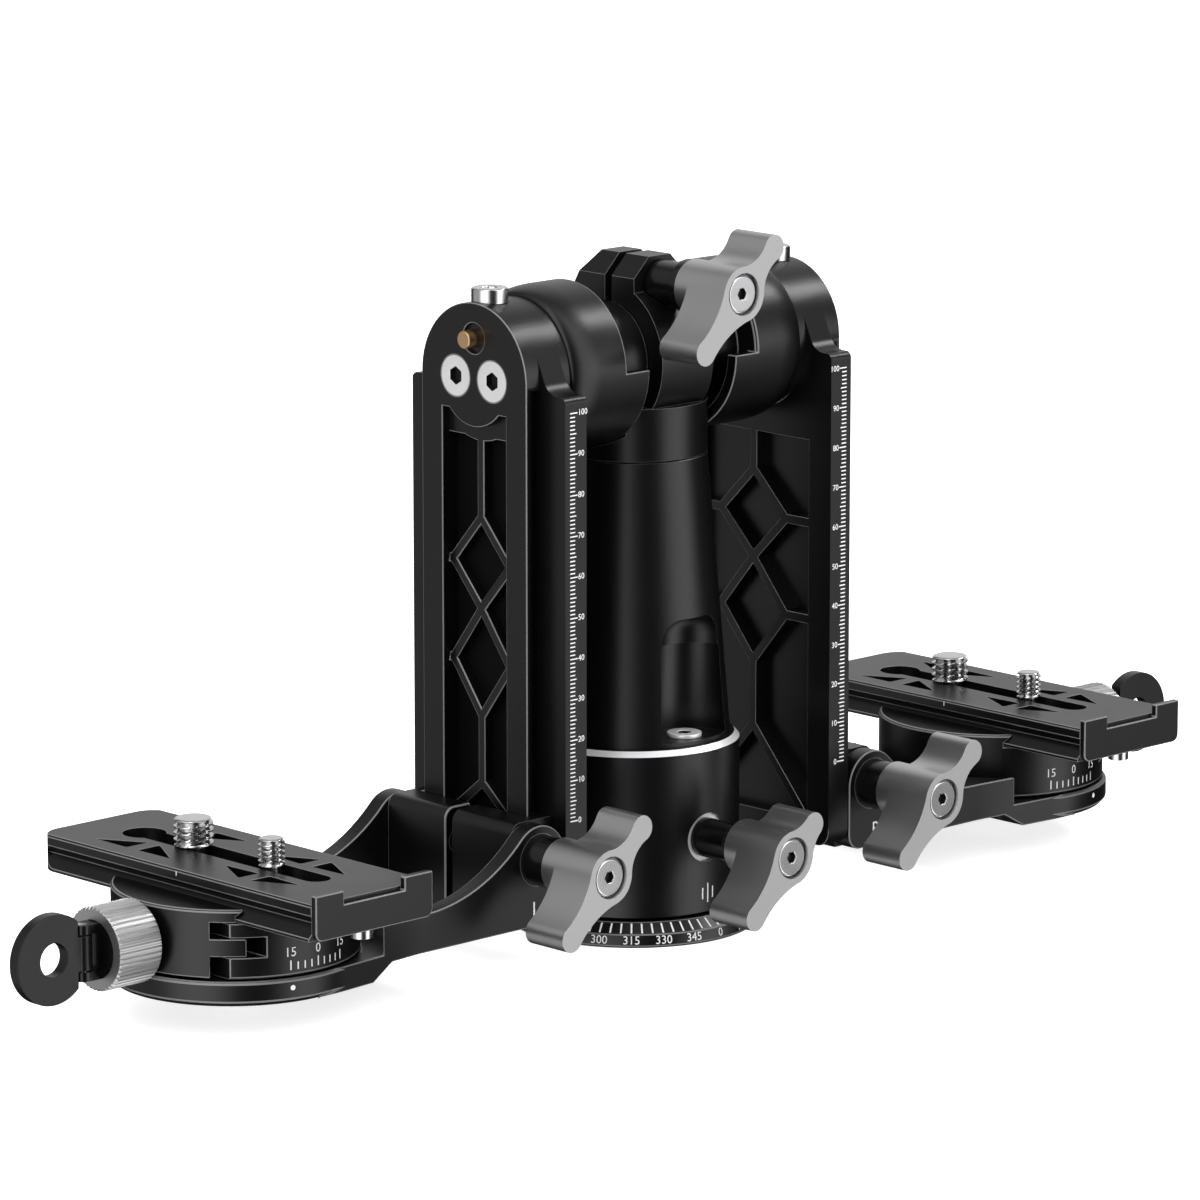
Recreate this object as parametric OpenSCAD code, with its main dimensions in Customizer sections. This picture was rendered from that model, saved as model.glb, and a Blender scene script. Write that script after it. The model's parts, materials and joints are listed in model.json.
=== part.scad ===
// Twin-arm gimbal head: a panning column carries one tilting yoke with two
// scaled arms, and each arm carries a sliding, folding quick-release platform.
// Millimetres. +Z up, origin at the centre of the base's underside, the
// tilt axis along X, the clamping knobs on the -Y side.

/* [Base and pan] */
// Radius of the base plate's numbered band
base_r = 31.2; // [30.5:0.1:34]
// Thickness of the base plate
base_h = 5.8; // [5:0.1:7]
// Height of the numbered band below the tick chamfer
band_h = 3.4; // [2.5:0.1:4]
// Inward width of the tick chamfer
band_chamfer = 3.6; // [2:0.1:4]
// Radius of the tripod thread's bore (3/8 inch, tapping size)
socket_r = 4.0; // [3.9:0.05:4.2]
// Depth of the tripod thread
socket_depth = 10; // [9:0.5:11]
// Radius of the boss around the tripod thread
socket_boss_r = 8; // [7.5:0.1:8.5]
// Radius of the pan spindle's journal
spindle_r = 14; // [13.5:0.1:14.5]
// Height of the journal above the base plate
spindle_h = 28.2; // [27:0.1:29]
// Radius of the spindle's neck under its cap
spindle_neck_r = 9; // [8:0.1:9.5]
// Radius of the spindle cap that traps the housing
cap_r = 13.5; // [12.5:0.1:14]
// Thickness of the spindle cap
cap_t = 3; // [2.5:0.1:4]
// Wall of the pan bush
bush_t = 2; // [1.5:0.1:2.5]
// Radius of the pan housing
housing_r = 26.4; // [26:0.1:27.5]
// Height of the pan housing
housing_h = 42.2; // [40:0.1:46]
// Thickness of the housing's inner lip
lip_t = 3.7; // [3:0.1:5]
// Edge chamfer on the housing's top
housing_chamfer = 1.3; // [0.8:0.1:1.8]
// Radius on which the base screws sit
base_screw_ring = 11; // [10.8:0.1:11.2]

/* [Column and clamp head] */
// Radius of the column's foot
column_foot_r = 24; // [23:0.1:25]
// Radius of the column's top and of the neck on it
column_top_r = 18.2; // [17.5:0.1:19]
// Height of the column
column_h = 70.8; // [66:0.1:76]
// Radius of the window's cut at its top
window_r = 9.5; // [8.5:0.1:9.8]
// How much wider the window's cut is at its sill
window_spread = 1.5; // [0:0.1:1.6]
// Height of the window above its sill
window_h = 30.3; // [26:0.1:34]
// Thickness of the sill that the column screws hold
sill_t = 1.2; // [1:0.1:3]
// Distance of the column screws from the axis
column_screw_y = 18; // [17.8:0.1:19]
// Height of the tilt axis above the column's top
tilt_rise = 24; // [24:0.1:25]
// Outer radius of the clamp ring
ring_r = 19; // [18:0.1:20]
// Half width of the clamp ring
ring_half = 8.7; // [8:0.1:9.5]
// Radius of the tilt shaft
shaft_r = 11; // [10.5:0.1:11.5]
// Wall of the tilt bush
tilt_bush_t = 2; // [1.5:0.1:2.5]
// Height of the clamp screw above the tilt axis
clamp_screw_rise = 18.9; // [18.5:0.1:19.5]
// Height of the ears above the clamp screw
ear_rise = 6.4; // [6:0.1:7]
// Chamfer on the ears' upper corners
ear_chamfer = 5; // [4:0.1:5.5]
// Depth of the front ear
front_ear = 9; // [8.5:0.1:10]
// Depth of the back ear at its top
back_ear = 7.5; // [7:0.1:9]
// Width of the split between the ears
split_w = 2.4; // [2:0.1:3]

/* [Hubs and arms] */
// Outer radius of the hubs
hub_r = 20.8; // [19.5:0.1:21.5]
// Distance of the seam between hub and arm from the middle
seam_x = 39.2; // [38.5:0.1:40]
// Distance of the hubs' inner ends from the middle
hub_in_x = 22; // [21:0.1:23]
// Distance of the lower skirts' inner edges from the middle
skirt_x = 14.8; // [14:0.1:15.5]
// Wall of the lower skirts
skirt_t = 3; // [2.5:0.1:3.5]
// Radius of the hubs' inner collars
collar_r = 14.2; // [13.6:0.1:15]
// Distance of the arms' outer faces from the middle
arm_face_x = 53.7; // [53.2:0.1:54.2]
// Width of the arms' outer plates
arm_w = 36.9; // [36:0.1:38]
// Height of the outer plate above the rail flange
arm_step = 4.7; // [4.2:0.1:5.2]
// Width of the rail flange
rail_w = 54; // [53:0.1:55]
// Thickness of the rail flange
rail_t = 7; // [6.5:0.1:7.5]
// Height of the arms' lower ends
arm_bottom_z = 15.4; // [14:0.1:17]
// Drop of the rail's shoulders below the tilt axis
shoulder_drop = 2.1; // [1:0.1:4]
// Undercut of the outer plate's dovetail sides
undercut = 2.2; // [1.5:0.1:2.5]
// Half width of the outer relief pocket
pocket_half = 11.2; // [10:0.1:12]
// Half width of the inner relief pocket
inner_half = 19.4; // [18:0.1:20]
// Width of the truss ribs
rib_w = 2.3; // [1.8:0.1:3]
// Depth of the shallow relief
relief = 2.2; // [1.5:0.1:2.5]
// Depth of the relief cells
cell_depth = 5; // [4:0.1:5]
// Spacing of the two countersunk screws in an arm
arm_screw_pitch = 12.8; // [12:0.1:14]
// Height of the stop pin above the tilt axis
stop_pin_rise = 9.8; // [9.5:0.1:10.5]
// Length of the stop pin that stands out of the arm
stop_pin_out = 3.4; // [2:0.1:4]

/* [Sliders and forks] */
// Height of the slider's axis at the bottom of its travel
slider_z = 29.6; // [29:0.1:32]
// Half length of the slider's block
block_half = 22.2; // [21.8:0.1:22.6]
// Distance of the slider block's outer face from the middle
block_x = 62.5; // [62:0.1:64]
// Height of the slider block above its axis
block_up = 8.6; // [8:0.1:9.5]
// Depth of the slider block below its axis
block_down = 16.1; // [14:0.1:16.2]
// Gap between the two slider jaws
jaw_gap = 2.6; // [2:0.1:3]
// Radius of the forks' ears on the slider's axis
ear_r = 8.4; // [8:0.1:8.8]
// Thickness of the fork's side arms
fork_t = 4.7; // [4:0.1:5.2]
// Gap between a fork's ear and the rail flange
ear_gap = 0.4; // [0.3:0.05:0.6]
// Height of the forks' lower edges
fork_bottom_z = 13.3; // [12.5:0.1:14]
// Height of the forks' level beams
fork_beam_z = 22.8; // [22:0.1:24]
// Reach of the S-shaped sweep beyond the slider's axis
fork_sweep = 37.5; // [34:0.5:40]
// Distance of the platforms from the middle
platform_x = 131; // [128:0.5:134]
// Radius of the platforms
platform_r = 30.4; // [30:0.1:31]
// Height of the platforms' undersides
platform_z = 9.5; // [8:0.1:10]
// Thickness of the platforms
platform_t = 6.1; // [5.5:0.1:7]

/* [Clamps and plates] */
// Radius of the turning clamps
clamp_r = 29.4; // [28.5:0.1:30]
// Height of the clamp's bed above the platform
bed_h = 13.4; // [13:0.1:14.5]
// Height of the jaws above the bed
jaw_h = 3.3; // [3:0.1:3.5]
// Distance of the moving jaw's inner wall from the clamp's axis
jaw_wall_x = 23; // [22.5:0.1:24]
// Opening travel that the jaw's fingers leave room for
jaw_travel = 2.5; // [2:0.1:3]
// Height of the clamp screw above the bed's underside
knob_rise = 7.6; // [7.5:0.1:8]
// Radius of the knurled clamp knob
clamp_knob_r = 10; // [9:0.1:10.5]
// Length of the knurled clamp knob
clamp_knob_l = 12.6; // [11:0.1:15]
// Radius of the folding paddle
paddle_r = 10.8; // [10:0.1:12]
// Thickness of the folding paddle
paddle_t = 3.2; // [2.8:0.1:3.6]
// Radius of the paddle's hole
paddle_hole_r = 4; // [3.5:0.1:4.5]
// Width of the plate's top
plate_w = 36.2; // [35.5:0.1:37]
// Width of the plate's dovetail foot
dovetail_w = 37.8; // [37.4:0.1:38.2]
// Thickness of the plate
plate_t = 8.6; // [8.2:0.1:9]
// Front end of the plate, measured from the clamp's axis
plate_front = 49.3; // [48:0.1:52]
// Back end of the plate, measured from the clamp's axis
plate_back = 51; // [48:0.1:54]
// Height of the end lip's horns above the plate
horn_h = 2.3; // [1.5:0.1:3]
// Width of a horn
horn_w = 8.7; // [7:0.1:10]
// Thickness of the end lip
lip_w = 1.8; // [1.5:0.1:3]
// Half width of the plate's screw slot
slot_half = 3.45; // [3.3:0.05:3.6]
// Radius of the 3/8 inch camera screw
big_screw_r = 4.76; // [4.7:0.01:4.8]
// Radius of the 1/4 inch camera screw
small_screw_r = 3.175; // [3.1:0.005:3.2]
// Length of the camera screws above the plate
screw_up = 7; // [5:0.1:8]
// Place of the 3/8 inch screw along the plate
big_screw_y = 14.9; // [12:0.1:18]
// Place of the 1/4 inch screw along the plate
small_screw_y = -13.2; // [-16:0.1:-11]

/* [Lever knobs] */
// Length of a lever knob's hub
lever_l = 17.2; // [16.5:0.1:19]
// Radius of a lever knob's hub
lever_hub_r = 6.8; // [6.4:0.1:7.5]
// Distance of the long wing's tip circle from the axis
long_wing = 18.2; // [17:0.1:18.6]
// Distance of the short wing's tip circle, on the tilt and slider knobs
short_wing = 14.6; // [14:0.1:16]
// Distance of the short wing's tip circle, on the pan knob
pan_short_wing = 10; // [9:0.1:12]
// Radius of a wing's tip
lever_tip_r = 3.2; // [2.8:0.1:3.6]
// Thickness of the wings
lever_t = 12.8; // [11:0.1:14]
// Angle of the wings above the horizontal
lever_angle = 45; // [0:1:90]
// Radius of the knob screw's head
lever_screw_r = 4.9; // [4.4:0.1:5]
// Gap between the clamp head's ear and the tilt knob's hub
tilt_knob_gap = 12; // [11.5:0.1:13]
// Gap between the housing and the pan knob's hub
pan_knob_gap = 12.4; // [10:0.1:14]
// Gap between a fork's ear and its knob's hub
slider_knob_gap = 7.6; // [6:0.1:9]
// Height of the pan knob above the base plate
pan_knob_rise = 19.4; // [18:0.1:20.5]

/* [Hidden] */
$fn = 72;
black = "#1b1b1d";
silver = "#b9babc";
steel = "#d0d0d2";
brass = "#b08a45";

// Clearances: round fits, and the gap between pieces that move past each other
fit = 0.05;
gap = 0.3;
// Overcut of a hole past a face, and spare depth below a screw's end
over = 1;
drill_end = 0.5;

// Pan stack, from the bottom up
housing_z = base_h + gap;
spindle_top = base_h + spindle_h;
lip_z = spindle_top + gap;
cap_z = lip_z + lip_t + gap;
housing_top = housing_z + housing_h;
bush_r = spindle_r + fit + bush_t;
socket_boss_h = socket_depth - base_h + 2;
base_screw_r = 2;
base_screw_head_r = 3.8;
base_screw_bite = 12;
base_screw_hex_r = 1.4;
base_screw_hex_h = 1.2;
base_edge = 0.6;
band_taper = 0.5;
housing_edge = 0.4;
cap_screw_r = 3;
cap_screw_l = 14;
cap_hex_r = 2.9;
cap_hex_h = 2;
brake_r = 4;
brake_l = 5;
pan_spot = 1.4;
pan_spot_r = 6.2;
pan_knob_z = base_h + pan_knob_rise;

// Column and clamp head
column_top = housing_top + column_h;
tilt_z = column_top + tilt_rise;
column_bore_r = 8.4;
column_roof = 12;
window_inset = 3.3;
window_y = column_foot_r - window_inset;
column_screw_r = 2.5;
column_screw_head_r = 4.3;
column_screw_head_h = 1.1;
column_screw_bite = 11;
column_screw_hex_r = 1.9;
column_screw_hex_h = 1.8;
column_step = 1.2;
column_edge = 0.3;
neck_bolt_r = 5;
neck_bolt_head_r = 8;
neck_bolt_head_h = 7;
neck_bolt_hex_r = 4.6;
neck_bolt_hex_h = 4;
neck_bite = 8;
neck_gap = 0.8;
neck_lap = 8;
neck_top = tilt_z - ring_r + neck_lap;
tilt_bore_r = shaft_r + fit + tilt_bush_t + fit;
clamp_screw_z = tilt_z + clamp_screw_rise;
ear_top = clamp_screw_z + ear_rise;
tilt_stud_r = 3;
tilt_collar_r = 5.4;
tilt_flange_r = 6.6;
tilt_flange_t = 2.5;

// Hubs and arms
hub_grip = 6;
hub_bore_x = hub_in_x + hub_grip;
shaft_half = hub_bore_x - gap;
hub_dome = 8.2;
hub_dome_x = seam_x - hub_dome;
rail_x = arm_face_x - arm_step;
arm_in_x = rail_x - rail_t;
arm_screw_r = 2.5;
arm_screw_head_r = 5;
arm_screw_head_h = 2.8;
arm_screw_hex_r = 2.3;
arm_screw_hex_h = 2;
arm_screw_end_x = seam_x - 9;
stop_pin_r = 2.2;
stop_pin_ring_r = 3.75;
stop_pin_ring_h = 1;
stop_pin_end_x = seam_x - 5;
top_screw_inset = 5.4;
top_screw_x = arm_face_x - top_screw_inset;
top_screw_head_r = 4.5;
top_screw_head_h = 4;
top_screw_r = 2;
top_screw_l = 4.6;
top_screw_hex_r = 2;
top_screw_hex_h = 1.6;
top_spot = 0.7;
shoulder_z = tilt_z - shoulder_drop;
shoulder_angle = 24;
dovetail_land = 1;
truss_top = tilt_z - 34.3;
truss_mid = tilt_z - 56.8;
truss_low = tilt_z - 83.5;
truss_foot = tilt_z - 100;
pocket_head = tilt_z - 8;
pocket_foot = truss_foot - 9;
pocket_boss_r = 11.8;
cell_head = tilt_z - 14.5;
cell_foot = truss_foot - 8;
cell_boss_r = 15.5;
inner_head = tilt_z - arm_w / 2 - 6.1;
inner_foot = arm_bottom_z + 6;
inner_corner = inner_half - 8;
inner_depth = relief + 1;

// Sliders and forks
slider_x = rail_x + ear_gap + ear_r;
block_round = 3;
fork_in = block_half + gap;
fork_out = fork_in + fork_t;
fork_kink = 2;
fork_slope_inset = 12.4;
fork_slope_run = 6.6;
fork_room = 6.1;
slider_stud_r = 3;
slider_collar_r = 6.2;
platform_top = platform_z + platform_t;
clamp_z = platform_top + gap;
pivot_r = 5;
pivot_head_r = 7.5;
pivot_head_h = 2.5;
pivot_bite = 8;
pivot_sink = 0.2;
pivot_hex_r = 3.5;
platform_bevel = 1.2;
disc_bevel = 0.5;

// Clamps and plates
bed_z = clamp_z + bed_h;
jaw_top = bed_z + jaw_h;
plate_z = bed_z + gap;
plate_top = plate_z + plate_t;
knob_z = clamp_z + knob_rise;
foot_land = 0.8;
groove_in = 3;
clamp_stud_r = 3;
clamp_stud_x = pivot_r + 3.5;
clamp_hub_r = 7;
knob_in_x = max(platform_r, clamp_r) + gap;
knob_out_x = knob_in_x + clamp_knob_l;
hinge_r = 2.2;
hinge_x = knob_out_x + 3.3;
hinge_pin_r = 1.1;
hinge_half = 4.2;
hinge_lug = 2.2;
paddle_x = hinge_x + paddle_r - 1;
finger_half_y = 13.6;
finger_h = 4.2;
finger_hold = 5.5;
finger_l = jaw_travel + finger_hold;
channel_half = 7.3;
channel_h = 4;
channel_margin = 13;
keyhole_r = 5.3;
keyhole_y = 33;
slot_front_y = -29;
screw_head_h = 3.2;
stop_screw_r = 2.6;
stop_screw_inset = 4.6;
stop_screw_drop = 2.6;
stop_screw_bite = 4;
stop_shank_r = 1.6;
stop_screw_hex_r = 1.4;
stop_screw_hex_h = 1.6;
plate_edge = 0.5;
plate_corner = 7;
triangle_rows = [24, -17];
triangle_out = 11.2;
triangle_in = 5.6;
triangle_near = 2.6;
triangle_far = 13;
thread_depth = 0.8;
thread_end = 0.6;

// Lever knobs
long_waist_r = 22;
short_waist_r = 8.5;
lever_bore = 11;
lever_stud_r = 4;
lever_screw_h = 1.8;
lever_screw_bevel = 0.6;
lever_recess = 2.4;
lever_screw_shank_r = 2;
lever_screw_l = 8;
lever_hex_r = 1.5;
lever_hex_floor = 0.4;
tilt_hub_y = -front_ear - tilt_knob_gap;
pan_hub_y = -housing_r - pan_knob_gap;
slider_hub_y = -fork_out - slider_knob_gap;
pan_stud_r = 3.8;
pan_thread_l = 2.5;
pan_collar_r = 4.9;
pan_stud_end_y = -spindle_r - fit - brake_l - fit;

// Round bars and prisms along each axis

module rod_x(x0, x1, r) {
    translate([x0, 0, 0]) rotate([0, 90, 0]) cylinder(h = x1 - x0, r = r);
}

module rod_y(y0, y1, r) {
    translate([0, y1, 0]) rotate([90, 0, 0]) cylinder(h = y1 - y0, r = r);
}

module rod_z(z0, z1, r) {
    translate([0, 0, z0]) cylinder(h = z1 - z0, r = r);
}

module hex_z(z0, z1, r) {
    translate([0, 0, z0]) cylinder(h = z1 - z0, r = r, $fn = 6);
}

// Turned disc with its lower and upper edges chamfered
module disc(z0, z1, r, low, high) {
    rotate_extrude()
        polygon([[0, z0], [r - low, z0], [r, z0 + low], [r, z1 - high], [r - high, z1], [0, z1]]);
}

// A drawing in Y and Z, drawn out along X
module prism_x(x0, x1) {
    translate([x0, 0, 0]) rotate([90, 0, 90]) linear_extrude(height = x1 - x0) children();
}

// A drawing in X and Z, drawn out along Y
module prism_y(y0, y1) {
    translate([0, y1, 0]) rotate([90, 0, 0]) linear_extrude(height = y1 - y0) children();
}

// Side pieces are drawn on the +X side, and mirrored for the left
module on_side(side) {
    if (side > 0) children();
    else mirror([1, 0, 0]) children();
}

module both_sides() {
    on_side(1) children();
    on_side(-1) children();
}

// Base and pan

module base_screw_places() {
    for (a = [0 : 120 : 240])
        rotate(a + 90) translate([base_screw_ring, 0, 0]) children();
}

module base_plate() {
    color(black) difference() {
        union() {
            rotate_extrude() polygon([
                [0, 0], [base_r - base_edge, 0], [base_r, base_edge], [base_r - band_taper, band_h],
                [base_r - band_chamfer, base_h], [0, base_h]
            ]);
            rod_z(base_h - over, base_h + socket_boss_h, socket_boss_r);
        }
        rod_z(-over, socket_depth, socket_r);
        base_screw_places() {
            rod_z(-over, base_h + over, base_screw_r + fit);
            translate([0, 0, -fit])
                cylinder(
                    h = base_screw_head_r - base_screw_r,
                    r1 = base_screw_head_r + fit, r2 = base_screw_r + fit
                );
        }
    }
}

module base_screws() {
    color(steel) base_screw_places() difference() {
        union() {
            cylinder(h = base_screw_head_r - base_screw_r, r1 = base_screw_head_r, r2 = base_screw_r);
            rod_z(0, base_screw_bite, base_screw_r);
        }
        hex_z(-over, base_screw_hex_h, base_screw_hex_r);
    }
}

module pan_spindle() {
    color(steel) difference() {
        union() {
            rod_z(base_h, spindle_top, spindle_r);
            rod_z(spindle_top - over, cap_z, spindle_neck_r);
        }
        rod_z(base_h - over, base_h + socket_boss_h + gap, socket_boss_r + fit);
        base_screw_places() rod_z(base_h - over, base_screw_bite + over, base_screw_r + fit);
        rod_z(cap_z - cap_screw_l - over, cap_z + over, cap_screw_r + fit);
    }
}

module spindle_cap() {
    color(steel) difference() {
        union() {
            rod_z(cap_z, cap_z + cap_t, cap_r);
            rod_z(cap_z - cap_screw_l, cap_z + over, cap_screw_r);
        }
        hex_z(cap_z + cap_t - cap_hex_h, cap_z + cap_t + over, cap_hex_r);
    }
}

module pan_bush() {
    color(brass) difference() {
        rod_z(housing_z + gap, spindle_top, bush_r);
        rod_z(0, spindle_top + over, spindle_r + fit);
        translate([0, 0, pan_knob_z]) rod_y(-bush_r - over, 0, brake_r + fit);
    }
}

module pan_brake_shoe() {
    color(brass) difference() {
        translate([0, 0, pan_knob_z]) rod_y(-spindle_r - fit - brake_l, 0, brake_r);
        rod_z(0, housing_top, spindle_r + fit);
    }
}

module pan_housing() {
    color(black) difference() {
        rotate_extrude() polygon([
            [0, housing_z], [housing_r - housing_edge, housing_z], [housing_r, housing_z + housing_edge],
            [housing_r, housing_top - housing_chamfer], [housing_r - housing_chamfer, housing_top],
            [0, housing_top]
        ]);
        rod_z(0, lip_z, bush_r + fit);
        rod_z(0, housing_top, spindle_neck_r + gap);
        rod_z(lip_z + lip_t, housing_top + over, cap_r + over);
        // Radial thread for the pan knob, with a spot-face at its mouth
        translate([0, 0, pan_knob_z]) {
            rod_y(-housing_r - over, 0, brake_r + fit);
            rod_y(-housing_r - over, -housing_r + pan_spot, pan_spot_r);
        }
        column_screw_places()
            rod_z(housing_top - column_screw_bite - over, housing_top + over, column_screw_r + fit);
    }
}

// Column and clamp head

module column_screw_places() {
    for (side = [-1, 1]) translate([0, side * column_screw_y, 0]) children();
}

module column() {
    color(black) difference() {
        rotate_extrude() polygon([
            [0, housing_top], [column_foot_r, housing_top], [column_foot_r, housing_top + column_step],
            [column_top_r, column_top - column_edge], [column_top_r - column_edge, column_top],
            [0, column_top]
        ]);
        rod_z(housing_top - over, column_top - column_roof, column_bore_r);
        rod_z(housing_top, column_top + over, neck_bolt_r + fit);
        column_screw_places()
            rod_z(housing_top - over, housing_top + sill_t + over, column_screw_r + fit);
        for (side = [-1, 1]) translate([0, side * window_y, housing_top + sill_t])
            cylinder(h = window_h, r1 = window_r + window_spread, r2 = window_r);
    }
}

module column_screws() {
    sill = housing_top + sill_t;
    head_top = sill + column_screw_head_h;
    color(steel) column_screw_places() difference() {
        union() {
            rod_z(sill, head_top, column_screw_head_r);
            rod_z(housing_top - column_screw_bite, sill + over, column_screw_r);
        }
        hex_z(head_top - column_screw_hex_h, head_top + over, column_screw_hex_r);
    }
}

module neck_bolt() {
    roof = column_top - column_roof;
    head_low = roof - neck_bolt_head_h;
    color(steel) difference() {
        union() {
            rod_z(head_low, roof, neck_bolt_head_r);
            rod_z(roof - over, column_top + neck_bite, neck_bolt_r);
        }
        hex_z(head_low - over, head_low + neck_bolt_hex_h, neck_bolt_hex_r);
    }
}

module clamp_ear_outline() {
    polygon([
        [-ring_half, tilt_z], [ring_half, tilt_z],
        [ring_half, ear_top - ear_chamfer], [ring_half - ear_chamfer, ear_top],
        [-ring_half + ear_chamfer, ear_top], [-ring_half, ear_top - ear_chamfer]
    ]);
}

// Side view of the ears: upright in front, sloping behind until it touches the ring
module clamp_ear_side() {
    rise = ear_top - tilt_z;
    reach = sqrt(back_ear * back_ear + rise * rise);
    touch = atan2(rise, back_ear) - acos(ring_r / reach);
    polygon([
        [-front_ear, tilt_z], [-front_ear, ear_top], [back_ear, ear_top],
        [ring_r * cos(touch), tilt_z + ring_r * sin(touch)], [0, tilt_z]
    ]);
}

module clamp_head() {
    color(black) difference() {
        union() {
            rod_z(column_top, neck_top, column_top_r);
            translate([0, 0, tilt_z]) rod_x(-ring_half, ring_half, ring_r);
            intersection() {
                prism_y(-front_ear, ring_r) clamp_ear_outline();
                prism_x(-ring_half, ring_half) clamp_ear_side();
            }
        }
        // Room for the hubs' collars and skirts beside the ring
        translate([0, 0, tilt_z]) both_sides() {
            rod_x(ring_half, column_top_r + over, collar_r + neck_gap);
            rod_x(skirt_x - neck_gap, column_top_r + over, hub_r + gap);
        }
        translate([0, 0, tilt_z]) rod_x(-ring_half - over, ring_half + over, tilt_bore_r);
        ring_split();
        // Hole for the clamp screw, and the seat of its collar in front of the ear
        translate([0, 0, clamp_screw_z]) {
            rod_y(-front_ear - over, ring_r, tilt_stud_r + fit);
            rod_y(-ring_r - over, -front_ear, tilt_collar_r + gap);
        }
        rod_z(column_top - over, column_top + neck_bite + over, neck_bolt_r + fit);
    }
}

// The split that lets the clamp screw close the ring and the bush in it
module ring_split() {
    translate([-ring_half - over, -split_w / 2, tilt_z])
        cube([2 * ring_half + 2 * over, split_w, 2 * ring_r]);
}

module tilt_bush() {
    color(brass) difference() {
        translate([0, 0, tilt_z]) rod_x(-ring_half, ring_half, tilt_bore_r - fit);
        translate([0, 0, tilt_z]) rod_x(-ring_half - over, ring_half + over, shaft_r + fit);
        ring_split();
    }
}

module tilt_shaft() {
    color(steel) translate([0, 0, tilt_z]) rod_x(-shaft_half, shaft_half, shaft_r);
}

// Hubs and arms

module arm_screw_places() {
    for (side = [-1, 1]) translate([0, side * arm_screw_pitch / 2, tilt_z]) children();
}

// The hub's round profile: radius against distance from the middle
module hub_profile() {
    edge = 0.6;
    swell = hub_r - arm_w / 2;
    dome = [for (a = [90 : -15 : 0]) [arm_w / 2 + swell * sin(a), hub_dome_x + hub_dome * cos(a)]];
    polygon(concat(
        [
            [0, ring_half + gap], [collar_r, ring_half + gap], [collar_r, hub_in_x],
            [hub_r - edge, hub_in_x], [hub_r, hub_in_x + edge]
        ],
        dome,
        [[0, seam_x]]
    ));
}

module hub() {
    color(black) difference() {
        union() {
            translate([0, 0, tilt_z]) rotate([0, 90, 0]) rotate_extrude() hub_profile();
            difference() {
                translate([0, 0, tilt_z]) rod_x(skirt_x, hub_in_x + over, hub_r);
                translate([0, 0, tilt_z]) rod_x(skirt_x - over, hub_in_x, hub_r - skirt_t);
                translate([skirt_x - over, -hub_r, tilt_z])
                    cube([hub_in_x - skirt_x + 3 * over, 2 * hub_r, hub_r + over]);
            }
        }
        translate([0, 0, tilt_z]) rod_x(0, hub_bore_x, shaft_r + fit);
        arm_screw_places() rod_x(arm_screw_end_x - over, seam_x + over, arm_screw_r + fit);
        translate([0, 0, tilt_z + stop_pin_rise])
            rod_x(stop_pin_end_x - over, seam_x + over, stop_pin_r + fit);
    }
}

module hub_left() on_side(-1) hub();
module hub_right() on_side(1) hub();

module arm_plate_outline() {
    translate([0, tilt_z]) circle(r = arm_w / 2);
    translate([-arm_w / 2, arm_bottom_z]) square([arm_w, tilt_z - arm_bottom_z]);
}

// Flange with rounded corners, and straight shoulders tangent to the round top
module rail_outline() {
    foot_r = 4;
    top_r = 1.6;
    half = rail_w / 2;
    r = arm_w / 2;
    touch = [r * cos(shoulder_angle), tilt_z + r * sin(shoulder_angle)];
    run = (touch[1] - shoulder_z) * tan(shoulder_angle);
    translate([0, tilt_z]) circle(r = r);
    translate([-half, arm_bottom_z + foot_r])
        square([rail_w, shoulder_z - top_r - arm_bottom_z - foot_r]);
    translate([-half + foot_r, arm_bottom_z]) square([rail_w - 2 * foot_r, shoulder_z - arm_bottom_z]);
    translate([-half + top_r, shoulder_z - 2 * top_r]) square([rail_w - 2 * top_r, 2 * top_r]);
    for (side = [-1, 1]) {
        translate([side * (half - foot_r), arm_bottom_z + foot_r]) circle(r = foot_r);
        translate([side * (half - top_r), shoulder_z - top_r]) circle(r = top_r);
        polygon([
            [0, shoulder_z], [side * (touch[0] + run), shoulder_z],
            [side * touch[0], touch[1]], [0, tilt_z]
        ]);
    }
}

// Straight rib between two points of a truss
module rib(p, q) {
    d = q - p;
    translate(p) rotate(atan2(d[1], d[0])) translate([0, -rib_w / 2]) square([norm(d), rib_w]);
}

// Truss of two diamonds between an upper and a lower stem
module truss(half, corner_y, top, bottom) {
    upper_z = (truss_top + truss_mid) / 2;
    lower_z = (truss_mid + truss_low) / 2;
    rib([0, top], [0, truss_top]);
    rib([0, truss_low], [0, truss_foot]);
    for (side = [-1, 1]) {
        upper = [side * corner_y, upper_z];
        lower = [side * corner_y, lower_z];
        rib([0, truss_top], upper);
        rib(upper, [0, truss_mid]);
        rib([0, truss_mid], lower);
        rib(lower, [0, truss_low]);
        rib(upper, [side * half, upper_z]);
        rib(lower, [side * half, lower_z]);
        rib([0, truss_foot], [side * half, bottom]);
    }
}

// Relief pocket, rounded under the boss, and its cells between the ribs
module outer_pocket() {
    difference() {
        translate([-pocket_half, pocket_foot]) square([2 * pocket_half, pocket_head - pocket_foot]);
        translate([0, tilt_z]) circle(r = pocket_boss_r);
    }
}

module outer_cells() {
    difference() {
        translate([-pocket_half, cell_foot]) square([2 * pocket_half, cell_head - cell_foot]);
        translate([0, tilt_z]) circle(r = cell_boss_r);
        truss(pocket_half, pocket_half - rib_w / 2, tilt_z, pocket_foot);
    }
}

module inner_cells() {
    difference() {
        translate([-inner_half, inner_foot]) square([2 * inner_half, inner_head - inner_foot]);
        truss(inner_half, inner_corner, tilt_z, inner_foot);
    }
}

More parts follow.
